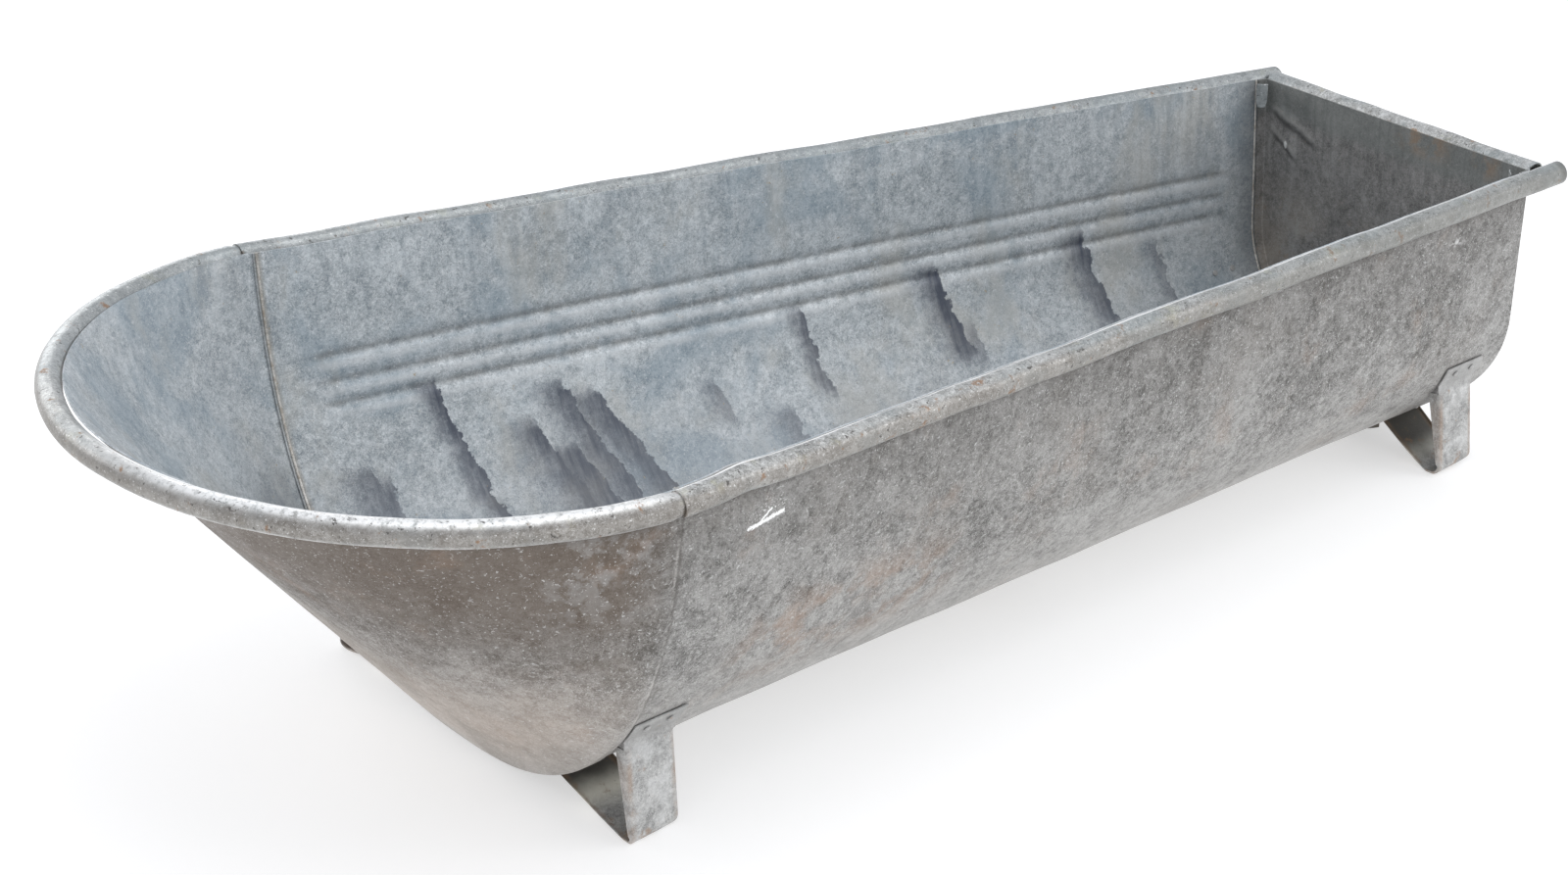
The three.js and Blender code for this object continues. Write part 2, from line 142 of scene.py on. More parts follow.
add_floor()
bpy.context.scene.view_settings.view_transform = "Standard"
add_lamp("overhead_softbox", (0.3, -0.6, 3.2), (0, 0, 0.2), (3.4, 2.4), 38)
add_lamp("right_softbox", (2.6, -2.4, 1.6), (0.1, 0, 0.2), (1.8, 1.8), 20)
add_lamp("low_front_softbox", (-0.3, -3.2, 0.5), (0, 0, 0.2), (4.0, 0.9), 11)
add_lamp("back_strip", (-0.6, 3.4, 1.5), (0, 0, 0.3), (5.0, 1.4), 60)
world = bpy.data.worlds.new("studio")
bpy.context.scene.world = world
world.use_nodes = True
world.node_tree.nodes["Background"].inputs["Color"].default_value = (0.93, 0.95, 1.0, 1)
world.node_tree.nodes["Background"].inputs["Strength"].default_value = SKY_STRENGTH

# %% [markdown]
# ## The tub's form
# A cross-section of the tub is a wall that leans in slightly and rounds into the bottom. Its
# width, depth and roundness change evenly from the seam at the round end to the flat end. The
# same few formulas place the sheets, the seams and the feet, so all of them fit each other.

# %% Section formulas
LEAN_WIDE, LEAN_NARROW = 0.08, 0.04
ROUND_NARROW = 146 * MM
POWER_WIDE, POWER_NARROW = 2.5, 2.0


def mix(a, b, k):
    return a + (b - a) * k


def rim_height(x):
    return SEAM_RIM_HEIGHT - RIM_FALL * x


def section_at(x):
    k = x / BODY_LENGTH
    return {
        "half": mix(WIDE_HALF - SHEET, NARROW_HALF, k) - 2 * GAP,
        "depth": mix(WIDE_DEPTH, NARROW_DEPTH, k),
        "lean": mix(LEAN_WIDE, LEAN_NARROW, k),
        "round": mix(WIDE_DEPTH, ROUND_NARROW, k),
        "power": mix(POWER_WIDE, POWER_NARROW, k),
    }


def half_width(x, depth):
    """Half the section's width at a depth below the rim: a leaning wall, then a soft round."""
    s = section_at(x)
    q = min(max((depth - (s["depth"] - s["round"])) / s["round"], 0.0), 1.0)
    return (s["half"] - s["lean"] * depth) * (1 - q ** s["power"]) ** (1 / s["power"])


def depth_at(x, half):
    """The other way round: the depth at which the section is that wide."""
    low, high = 0.0, section_at(x)["depth"]
    for _ in range(40):
        middle = (low + high) / 2
        if half_width(x, middle) > half:
            low = middle
        else:
            high = middle
    return low


WALL_PART = 0.52        # share of the rows that the upper wall takes, so that the ribs are fine
WALL_DEPTH = 182 * MM


def row_depth(x, t):
    """Depth below the rim of the row at t, from 0 at the wall's top edge to 1 at the bottom."""
    if t <= WALL_PART:
        return mix(EDGE_BELOW_RIM, WALL_DEPTH, t / WALL_PART)
    s = section_at(x)
    q0 = max((WALL_DEPTH - (s["depth"] - s["round"])) / s["round"], 0.0)
    angle0 = math.asin(q0 ** (s["power"] / 2))
    angle = mix(angle0, math.pi / 2, (t - WALL_PART) / (1 - WALL_PART))
    return s["depth"] - s["round"] + s["round"] * math.sin(angle) ** (2 / s["power"])


def body_point(x, v):
    """Outer face at x; v runs from the near rim, 0, under the belly to the far rim, 1."""
    t = 1 - abs(2 * v - 1)
    side = -1 if v < 0.5 else 1
    half = 0.0 if t >= 1 else half_width(x, row_depth(x, t))
    return Vector((SEAM_X + x, side * half, rim_height(x) - row_depth(x, t)))


def body_outward(x, v):
    a = body_point(x, max(v - 0.003, 0))
    b = body_point(x, min(v + 0.003, 1))
    return Vector((0, b.z - a.z, a.y - b.y)).normalized()


print(f"belly clearance {1000 * (rim_height(0) - WIDE_DEPTH):.1f} mm")

# %% [markdown]
# Sheet that was cut, bent and hammered by hand, and then used for years, isn't true. A slow
# wander and some shallow dents are put in the mesh itself, because they bend the reflections
# and the outline, which a bump in a material can't do. They fade out near seams and feet, where
# the pieces touch each other.

# %% Hand-beaten unevenness
def wander(place, scale, seed):
    return noise.noise(place / scale + Vector((seed * 7.3, seed * 3.1, seed * 5.7)))


def ease(value, low, high):
    t = min(max((value - low) / (high - low), 0.0), 1.0)
    return t * t * (3 - 2 * t)


FOOT_STARTS = [15 * MM, 1117 * MM]
STRAP_WIDTH = 57 * MM


def free_of_feet(x, depth):
    near = min(abs(x - start - STRAP_WIDTH / 2) for start in FOOT_STARTS)
    return max(ease(near, 0.045, 0.11), 1 - ease(depth, 0.15, 0.21))


def beaten(x, v):
    p = body_point(x, v)
    t = 1 - abs(2 * v - 1)
    ends = ease(x, 0.012, 0.10) * ease(BODY_LENGTH - x, 0.02, 0.10)
    free = ends * ease(t, 0.0, 0.12) * free_of_feet(x, row_depth(x, t))
    slow = 1.8 * wander(p, 0.21, 1)
    shallow = 0.7 * wander(p, 0.075, 2) + 0.22 * wander(p, 0.028, 3)
    return (slow + shallow) * MM * free


# each kink: its place along the trough, its depth in millimetres and how far it spreads
KINKS = [(0.067, 2.2, 0.020), (0.325, 1.8, 0.034), (0.583, 1.6, 0.038), (0.900, 1.2, 0.03)]


def side_wander(x, side):
    """How far a side's rim, and the wall's top with it, strays from its straight line."""
    ends = ease(x, 0.0, 0.05) * ease(BODY_LENGTH - x, 0.0, 0.06)
    kinks = sum(size * math.exp(-((x - at) / spread) ** 2) for at, size, spread in KINKS)
    line = Vector((x, 0, side))
    rise = 2.0 * wander(line, 0.10, 10) + (0.55 * kinks if side < 0 else 0)
    push = 2.2 * wander(line, 0.13, 11) + (0.7 * kinks if side < 0 else 0)
    return Vector((0, -side * push, rise)) * MM * ends


def round_wander(angle):
    """The same for the round end: only down and inwards, by the angle from its tip."""
    free = ease(math.pi / 2 - abs(angle), 0.0, 0.25) * MM
    place = Vector((angle, 0, 3))
    inward = 1.6 * abs(wander(place, 0.40, 14)) * free
    down = 1.4 * abs(wander(place, 0.30, 13)) * free
    return Vector((inward * math.cos(angle), -inward * math.sin(angle), -down))


near_wall = [1000 * beaten(BODY_LENGTH * k / 20, 0.3) for k in range(21)]
print(f"the near wall strays from {min(near_wall):.1f} to {max(near_wall):.1f} mm")

# %% [markdown]
# Three ribs were pressed outwards along the far wall, to stiffen it. Each is a soft wave in the
# sheet. A bevelled groove would look machined, so a rib is a bell curve on the depth below the
# rim, and it runs out smoothly at both ends.

# %% Pressed ribs
RIB_PRESS = 2.1 * MM
RIB_SOFT = 5.2 * MM
RIB_START = 40 * MM
RIB_STOP = 1160 * MM
RIB_RUNOUT = 35 * MM


def rib_press(x, v):
    if v < 0.5:
        return 0.0
    depth = row_depth(x, 2 * (1 - v))
    k = x / BODY_LENGTH
    crests = [mix(a, b, k) for a, b in zip(RIBS_WIDE, RIBS_NARROW)]
    press = sum(math.exp(-((depth - c) / RIB_SOFT) ** 2) for c in crests)
    ends = min(x - RIB_START, RIB_STOP - x)
    return RIB_PRESS * press * ease(ends, 0, RIB_RUNOUT)


print(f"three ribs of {1000 * (RIB_STOP - RIB_START):.0f} mm on the far wall")

# %% [markdown]
# Three chores come back with every piece. An operator acts on all that is selected, so nothing
# may stay selected when the next primitive is added. A modifier is applied as soon as it's set,
# so that the mesh itself holds the shape. And faces are shaded smooth unless they meet at a sharp
# angle, which keeps the cut edge of a sheet crisp.

# %% Small helpers
SHARP_ANGLE = 35


def deselect():
    bpy.ops.object.select_all(action="DESELECT")


def apply_modifier(piece, kind, **settings):
    bpy.context.view_layer.objects.active = piece
    modifier = piece.modifiers.new(kind.lower(), kind)
    for key, value in settings.items():
        setattr(modifier, key, value)
    bpy.ops.object.modifier_apply(modifier=modifier.name)


def smooth(piece, degrees=SHARP_ANGLE):
    deselect()
    piece.select_set(True)
    bpy.context.view_layer.objects.active = piece
    bpy.ops.object.shade_smooth_by_angle(angle=math.radians(degrees))


print("edges sharper than", SHARP_ANGLE, "degrees stay crisp, unless a piece says otherwise")

# %% [markdown]
# ## Finishes
# Old galvanised sheet isn't one grey. Close up it has the spangle of its zinc crystals, over
# that a bloom of pale oxide, and then dirt, rust and the marks that standing water left. Each
# of these is a pattern of its own size, so the finishes are sums of noises from fine to coarse.
# Written as Python expressions they stay readable: a small class wraps a socket, and its
# operators add the Math nodes.

# %% Expressions on sockets
class Amount:
    """A socket of a finish. Arithmetic on it adds Math nodes."""

    def __init__(self, finish, socket):
        self.finish = finish
        self.socket = socket

    def maths(self, operation, first, second):
        return self.finish.node("ShaderNodeMath", {"operation": operation}, {0: first, 1: second})

    def __add__(self, other):
        return self.maths("ADD", self, other)

    def __radd__(self, other):
        return self.maths("ADD", other, self)

    def __sub__(self, other):
        return self.maths("SUBTRACT", self, other)

    def __rsub__(self, other):
        return self.maths("SUBTRACT", other, self)

    def __mul__(self, other):
        return self.maths("MULTIPLY", self, other)

    def __rmul__(self, other):
        return self.maths("MULTIPLY", other, self)

    def __truediv__(self, other):
        return self.maths("DIVIDE", self, other)

    def __pow__(self, other):
        return self.maths("POWER", self, other)

    def absolute(self):
        return self.maths("ABSOLUTE", self, 0)

    def at_most(self, other):
        return self.maths("MINIMUM", self, other)

    def at_least(self, other):
        return self.maths("MAXIMUM", self, other)


class Finish:
    """A material, with one method that adds any node to it."""

    def __init__(self, name, metallic):
        self.material = bpy.data.materials.new(name)
        self.material.use_nodes = True
        self.tree = self.material.node_tree
        self.shader = self.tree.nodes["Principled BSDF"]
        self.shader.inputs["Metallic"].default_value = metallic
        self.place = self.node("ShaderNodeTexCoord", output="Object")
        split = self.node("ShaderNodeSeparateXYZ", sockets={"Vector": self.place}).socket.node
        self.x, self.y, self.z = (Amount(self, split.outputs[axis]) for axis in "XYZ")

    def node(self, kind, settings=None, sockets=None, output=0):
        made = self.tree.nodes.new(kind)
        for key, value in (settings or {}).items():
            setattr(made, key, value)
        for key, value in (sockets or {}).items():
            if isinstance(value, Amount):
                self.tree.links.new(value.socket, made.inputs[key])
            else:
                made.inputs[key].default_value = value
        return Amount(self, made.outputs[output])

    def noise(self, scale, detail=3.0, rough=0.55, place=None, twist=0.0):
        """Noise about 0.5; scale is in bumps to the metre."""
        sockets = {"Vector": place or self.place, "Scale": scale, "Detail": detail,
                   "Roughness": rough, "Distortion": twist}
        return self.node("ShaderNodeTexNoise", {"noise_dimensions": "3D"}, sockets)

    def stretched(self, sx, sy, sz, shift=(0, 0, 0)):
        """The place, scaled by axis, for patterns that are drawn out in one direction."""
        return self.node("ShaderNodeMapping", {},
                         {"Vector": self.place, "Scale": (sx, sy, sz), "Location": shift})

    def rise(self, value, low, high):
        """0 below low, 1 above high, and smooth between; falls where low is above high."""
        start, end = (0.0, 1.0) if low < high else (1.0, 0.0)
        return self.node("ShaderNodeMapRange", {"interpolation_type": "SMOOTHSTEP"},
                         {0: value, 1: min(low, high), 2: max(low, high), 3: start, 4: end})

    def window(self, value, low, high, soft):
        """1 between low and high, with soft sides."""
        after = self.rise(value, low - soft, low + soft)
        return after * self.rise(value, high + soft, high - soft)

    def line(self, value, width):
        """1 where the value is 0, fading over the width."""
        return self.rise(value.absolute(), width, 0.0)

    def blend(self, under, over, share):
        """Two colours by a share; either may be a plain tuple."""
        def rgba(c):
            return c if isinstance(c, Amount) else (*c, 1.0)
        return self.node("ShaderNodeMix", {"data_type": "RGBA"},
                         {0: share, 6: rgba(under), 7: rgba(over)}, output=2)

    def crystals(self, scale, twist=0.0):
        """A random tone for each zinc crystal."""
        place = self.place
        if twist:
            bend = self.node("ShaderNodeTexNoise", {}, {"Vector": place, "Scale": scale * 0.7},
                             output=1)
            bend = self.node("ShaderNodeVectorMath", {"operation": "SCALE"},
                             {0: bend, "Scale": twist / scale})
            place = self.node("ShaderNodeVectorMath", {"operation": "ADD"}, {0: place, 1: bend})
        cell = self.node("ShaderNodeTexVoronoi", {}, {"Vector": place, "Scale": scale}, output=1)
        return Amount(self, self.node("ShaderNodeSeparateColor", {},
                                      {0: cell}).socket.node.outputs[0])

    def done(self, colour, roughness, relief, height, metallic=None):
        """Colour, roughness and a bump whose relief is in metres."""
        links = self.tree.links
        if metallic:
            links.new(metallic.socket, self.shader.inputs["Metallic"])
        links.new(colour.socket, self.shader.inputs["Base Color"])
        links.new(roughness.socket, self.shader.inputs["Roughness"])
        bump = self.node("ShaderNodeBump", {}, {"Strength": 1.0, "Distance": relief,
                                                "Height": height})
        links.new(bump.socket, self.shader.inputs["Normal"])
        print(f"{self.material.name}: {len(self.tree.nodes)} nodes")
        return self.material


print("made the classes Amount and Finish")

# %% [markdown]
# Every zinc finish starts the same way: broad clouds of tone, a finer mottle, the spangle, grit
# and thin pale curls, which are the lines where a noise passes through its middle value. What
# differs is the two greys it runs between, and how strong the clouds and the curls are.

# %% Bare zinc
CURLS = ((95, 0.019), (170, 0.028))     # curls to the metre, and how wide the line is


def bare_zinc(finish, dark, light, clouds, curls):
    """The colour, the tone and the relief of zinc that has only dulled."""
    broad = finish.noise(5.5, 3, 0.5)
    cloud = finish.noise(24, 6, 0.62, twist=0.6)
    mottle = finish.noise(105, 4, 0.6)
    grain = finish.noise(290, 4, 0.68, twist=1.0)
    spangle = finish.crystals(170, twist=0.6)
    grit = finish.noise(850, 2, 0.6)
    tone = (0.5 + (broad - 0.5) * 0.9 * clouds + (cloud - 0.5) * 1.5 * clouds
            + (mottle - 0.5) * 1.2 + (grain - 0.5) * 2.2 + (spangle - 0.5) * 0.20
            + (grit - 0.5) * 1.3)
    tone = tone.at_most(1.0).at_least(0.0)
    colour = finish.blend(dark, light, tone)
    pale = tuple(min(c * 1.45, 0.85) for c in light)
    for scale, width in CURLS:
        curl = finish.line(finish.noise(scale, 3, 0.6, twist=1.2) - 0.5, width)
        patches = finish.rise(finish.noise(scale * 0.55, 3, 0.6), 0.42, 0.54)
        colour = finish.blend(colour, pale, curl * patches * curls)
    height = mottle * 0.3 + grain * 0.35 + grit * 0.2 + spangle * 0.15
    return colour, tone, height


def flecks(finish, colour, scale, share, fleck_colour, strength, stretch=None):
    """Scattered small marks; share is the part of the noise's range that they fill."""
    place = finish.stretched(*stretch) if stretch else None
    spots = finish.noise(scale, 3, 0.7, place=place)
    mask = finish.rise(spots, 1 - share, 1 - share + 0.04) * strength
    return finish.blend(colour, fleck_colour, mask)


print("curls about", [round(1000 / scale) for scale, width in CURLS], "mm apart")

# %% [markdown]
# Outside, the sloping end has browned under the rim and bleached to tan below. Over the whole
# outside, painted light makes the wall lighter towards the bottom, as if lit from the floor, and
# painted shade makes it darker towards the rim, with a painted shadow in a band just under the
# rim. Dirt stayed in the seam, the sheet's top edge on the near side carries a painted white
# highlight, and a dab of lime wash was left near the seam. All this could be painted on an image.
# Here each mark is a window on two measures, along the trough and down from the rim, which stays
# sharp at any distance. A noise is added to the measures or laid over the mark, so that no outline
# is straight.

# %% Zinc of the tub's outside
# a dab of lime wash near the seam: each stroke's start and end, along and down, and half width
LIME_STROKES = [
    ((0.089, 0.0715), (0.128, 0.0655), 0.0019),
    ((0.103, 0.0672), (0.114, 0.0590), 0.0011),
]
SPLASH_ALONG, SPLASH_DOWN = (0.092, 0.132), (0.052, 0.066)
SCUFF_ALONG, SCUFF_DOWN = (1.080, 1.100), (0.055, 0.060)


def stroke(finish, along, depth, start, stop, half):
    """A dab drawn from one place to another on the wall."""
    run, fall = stop[0] - start[0], stop[1] - start[1]
    share = ((along - start[0]) * run + (depth - start[1]) * fall) / (run * run + fall * fall)
    share = share.at_least(0.0).at_most(1.0)
    off_x = along - start[0] - share * run
    off_z = depth - start[1] - share * fall
    away = (off_x * off_x + off_z * off_z) ** 0.5
    ragged = (finish.noise(520, 4, 0.75) - 0.5) * half * 4.5
    return finish.rise(away + ragged, half * 1.15, half * 0.85)


def weathered_outside(name):
    finish = Finish(name, metallic=0.30)
    dark, light = (0.090, 0.087, 0.081), (0.355, 0.35, 0.337)
    colour, tone, height = bare_zinc(finish, dark, light, clouds=1.05, curls=0.75)
    along = finish.x - SEAM_X
    depth = SEAM_RIM_HEIGHT - along * RIM_FALL - finish.z
    near = finish.rise(finish.y, 0.0, -0.05)
    round_end = finish.rise(along, 0.03, -0.05)
    cloudy = (finish.noise(9, 5, 0.62) - 0.5) * 0.16

    # painted light: the outside grows lighter towards the bottom, as if lit from the floor
    low = finish.rise(depth, 0.16, 0.34)
    colour = finish.blend(colour, (0.60, 0.585, 0.565), low * 0.40)
    # painted shade: the outside grows darker towards the rim
    high = finish.rise(depth, 0.20, 0.01)
    colour = finish.blend(colour, (0.080, 0.073, 0.066), high * 0.38)

    brown = finish.rise(depth + cloudy, 0.25, 0.09) * round_end
    colour = finish.blend(colour, (0.115, 0.084, 0.060), brown * 0.76)
    tan = finish.rise(depth + cloudy, 0.15, 0.30) * round_end
    colour = finish.blend(colour, (0.50, 0.395, 0.315), tan * 0.46)
    pale_side = (finish.window(along, -0.10, 0.0, 0.03) * finish.rise(depth, 0.17, 0.07) * near
                 * finish.rise(finish.noise(40, 6, 0.7), 0.48, 0.60))
    colour = finish.blend(colour, (0.38, 0.38, 0.375), pale_side * 0.45)
    patina = finish.rise(finish.noise(10, 5, 0.62), 0.50, 0.66)
    colour = finish.blend(colour, (0.17, 0.145, 0.12), patina * (0.18 + round_end * 0.20))
    rust = finish.rise(finish.noise(13, 6, 0.65), 0.55, 0.72)
    rust_run = (finish.window(along, 0.12, 0.36, 0.05) * finish.window(depth, 0.17, 0.25, 0.03)
                * finish.rise(finish.noise(22, 5, 0.6), 0.42, 0.62) * near)
    rust_tint = (rust * 0.25).at_least(rust_run * 0.55)
    colour = finish.blend(colour, (0.34, 0.225, 0.155), rust_tint)

    colour = flecks(finish, colour, 330, 0.38, (0.70, 0.70, 0.69), 0.55)
    colour = flecks(finish, colour, 110, 0.35, (0.70, 0.71, 0.71), 0.42, (1, 1, 3.2))
    colour = flecks(finish, colour, 250, 0.34, (0.085, 0.08, 0.075), 0.50)

    seam_dirt = finish.line(along - 0.0115, 0.004) * finish.noise(60, 4)
    colour = finish.blend(colour, (0.07, 0.06, 0.05), seam_dirt)
    seam_edge = finish.line(along - 0.0075, 0.0022) * finish.rise(finish.noise(45, 4), 0.40, 0.60)
    colour = finish.blend(colour, (0.66, 0.63, 0.60), seam_edge * 0.45)
    # painted shadow in a band just under the rim
    rim_shadow = finish.window(depth, 0.018, 0.036, 0.009) * (0.55 + finish.noise(40, 4) * 0.8)
    colour = finish.blend(colour, (0.055, 0.048, 0.042), rim_shadow.at_most(1.0) * 0.72)
    # painted white highlight along the near wall's top edge
    top_edge_highlight = finish.rise(depth, 0.0105, 0.0085) * near
    colour = finish.blend(colour, (0.92, 0.92, 0.91), top_edge_highlight * 0.9)
    for start, stop, half in LIME_STROKES:
        dab = stroke(finish, along, depth, start, stop, half) * near
        colour = finish.blend(colour, (0.88, 0.88, 0.87), dab)
    splash = (finish.rise(finish.noise(560, 2, 0.6), 0.60, 0.64) * near
              * finish.window(along, *SPLASH_ALONG, 0.012)
              * finish.window(depth, *SPLASH_DOWN, 0.007))
    scuff = (finish.rise(finish.noise(160, 4, 0.7), 0.46, 0.54) * near
             * finish.window(along, *SCUFF_ALONG, 0.008)
             * finish.window(depth, *SCUFF_DOWN, 0.005))
    colour = finish.blend(colour, (0.80, 0.80, 0.79), splash.at_least(scuff * 0.8))

    roughness = 0.60 - tone * 0.18 + rust_tint * 0.2
    return finish.done(colour, roughness, 0.6 * MM, height)


outside_zinc = weathered_outside("outside_zinc")

# %% [markdown]
# Inside, water stood for years. It left a bluer, paler bloom on the walls and, where it dried up,
# dark tongues on the lower wall and the bottom: each has a ragged, sharp edge on one side and
# fades away on the other. Dirt has gathered in the three pressed grooves of the far wall, and a
# pale painted highlight runs along each rib's crest below its groove.

# %% Zinc of the tub's inside
# each tongue: its sharp edge along the trough at its top, first and last place down the wall,
# how far the edge drifts along the trough on its way down, its width, and how dark it is
WATER_TONGUES = [
    (0.076, 0.225, 0.290, 0.28, 0.045, 0.75),
    (0.094, 0.236, 0.330, 0.02, 0.030, 0.80),
    (0.166, 0.160, 0.370, 0.26, 0.030, 1.00),
    (0.262, 0.214, 0.380, 0.42, 0.044, 1.00),
    (0.302, 0.184, 0.320, 0.40, 0.046, 0.90),
    (0.296, 0.240, 0.400, 0.50, 0.080, 1.00),
    (0.334, 0.198, 0.420, 0.55, 0.046, 0.95),
    (0.472, 0.212, 0.252, 0.22, 0.030, 0.60),
    (0.545, 0.250, 0.300, 0.30, 0.040, 0.60),
    (0.590, 0.160, 0.250, 0.16, 0.024, 0.85),
    (0.762, 0.148, 0.246, 0.30, 0.042, 1.00),
    (0.800, 0.215, 0.252, 0.10, 0.035, 0.60),
    (0.958, 0.145, 0.246, 0.26, 0.040, 0.90),
    (1.060, 0.170, 0.250, 0.20, 0.030, 0.55),
]


def water_marks(finish, along, down):
    """How much of the surface the tongues darken, 0 to 1."""
    scallop = (finish.noise(42, 2, 0.5) - 0.5) * 0.022 + (finish.noise(150, 3, 0.6) - 0.5) * 0.014
    strands = finish.noise(1, 4, 0.6, place=finish.stretched(190, 22, 22))
    total = None
    for edge, top, bottom, drift, width, dark in WATER_TONGUES:
        inside = (edge - drift * top - along) + down * drift + scallop
        fade = finish.rise(inside, width * 1.25, width * 0.05)
        tongue = (finish.rise(inside, 0.0, 0.0016) * fade
                  * finish.window(down + scallop * 0.5, top, bottom, 0.010) * dark)
        total = tongue if total is None else total.at_least(tongue)
    return total * (0.50 + strands * 0.95)


def weathered_inside(name):
    finish = Finish(name, metallic=0.35)
    dark, light = (0.265, 0.298, 0.317), (0.64, 0.675, 0.69)
    colour, tone, height = bare_zinc(finish, dark, light, clouds=0.75, curls=0.55)
    along = finish.x - SEAM_X
    depth = SEAM_RIM_HEIGHT - along * RIM_FALL - finish.z
    far_side = finish.rise(finish.y, 0.0, 0.05)

    blue = finish.rise(finish.noise(9, 5, 0.62, twist=0.5), 0.46, 0.66)
    colour = finish.blend(colour, (0.225, 0.30, 0.355), blue * 0.52)
    beige = finish.rise(finish.noise(12, 5, 0.62, place=finish.stretched(1, 1, 0.5, (3, 1, 2))),
                        0.50, 0.68)
    colour = finish.blend(colour, (0.50, 0.485, 0.44), beige * 0.50)
    streaks = finish.noise(1, 5, 0.6, place=finish.stretched(95, 30, 13))
    patches = finish.rise(finish.noise(13, 4, 0.6), 0.42, 0.62)
    runs = finish.rise(streaks, 0.46, 0.66) * finish.rise(depth, 0.17, 0.02)
    runs = runs * (0.25 + patches * 0.75)
    colour = finish.blend(colour, (0.20, 0.235, 0.265), runs * 0.42)
    pale_runs = finish.rise(streaks, 0.52, 0.36) * finish.rise(depth, 0.24, 0.05) * patches
    colour = finish.blend(colour, (0.66, 0.69, 0.70), pale_runs * 0.30)

    ends = finish.window(along, 0.045, 1.155, 0.02) * far_side
    for wide, narrow in zip(RIBS_WIDE, RIBS_NARROW):
        off = depth - (wide + along * ((narrow - wide) / BODY_LENGTH))
        patchy = finish.rise(finish.noise(45, 4, 0.6), 0.30, 0.62)
        colour = finish.blend(colour, (0.165, 0.15, 0.13), finish.line(off + 0.001, 0.0060)
                              * ends * (0.10 + patchy * 0.36))
        # painted highlight along the rib's crest, below its groove
        colour = finish.blend(colour, (0.62, 0.635, 0.64), finish.line(off - 0.0090, 0.006)
                              * ends * (0.22 + patchy * 0.36))

    colour = flecks(finish, colour, 330, 0.39, (0.74, 0.76, 0.77), 0.55)
    marks = water_marks(finish, along, depth) * far_side
    colour = finish.blend(colour, (0.062, 0.072, 0.100), marks.at_most(1.0) * 0.96)

    bottom = finish.rise(depth, 0.15, 0.33)
    round_end = finish.rise(along, 0.0, -0.02)
    # darker towards the bottom and at the round end
    darker_low = bottom * (0.40 + round_end * 0.20) + round_end * 0.18
    colour = finish.blend(colour, (0.20, 0.215, 0.23), darker_low)
    corner = finish.window(along, -0.15, 0.0, 0.03) * finish.rise(depth, 0.12, 0.26)
    colour = finish.blend(colour, (0.13, 0.14, 0.15),
                          corner * finish.rise(finish.noise(16, 4, 0.6), 0.36, 0.60) * 0.55)
    silt = bottom * finish.rise(finish.noise(12, 5, 0.6), 0.45, 0.70)
    colour = finish.blend(colour, (0.30, 0.285, 0.255), silt * 0.35)
    colour = flecks(finish, colour, 240, 0.33, (0.13, 0.135, 0.14), 0.55)
    colour = flecks(finish, colour, 120, 0.30, (0.42, 0.33, 0.19), 0.6)
    corner_shade = finish.rise(along, BODY_LENGTH - 0.06, BODY_LENGTH - 0.008)
    colour = finish.blend(colour, (0.15, 0.155, 0.16), corner_shade * 0.6)
    seam_dirt = finish.line(along - 0.004, 0.006) * (0.2 + finish.noise(50, 4))
    colour = finish.blend(colour, (0.30, 0.24, 0.17), seam_dirt * 0.6)

    roughness = 0.56 - tone * 0.14 + marks * 0.06
    return finish.done(colour, roughness, 0.35 * MM, height)


inside_zinc = weathered_inside("inside_zinc")

# %% [markdown]
# The flat end is darker than the rest: partly painted shade, as it faces away from the light, and
# partly the dirt it has kept. Rust has started where the sheet was bent over under the rim. Two
# creases run down from the far upper corner. They are pressed into the mesh later, and the finish
# paints a highlight on the ridge and shade in the valley of each at the same place, because both
# read the same list.

# %% Zinc of the flat end's inside
# each crease: where it starts across the plate and below the rim, how steeply it runs down,
# how far across it reaches, its width and how far it is pushed in, in millimetres
CREASES = [(0.172, 0.034, 0.36, 0.064, 0.0055, 3.0), (0.172, 0.056, 0.66, 0.038, 0.0055, 2.2)]
CHIP_Y, CHIP_DOWN = 0.149, 0.073


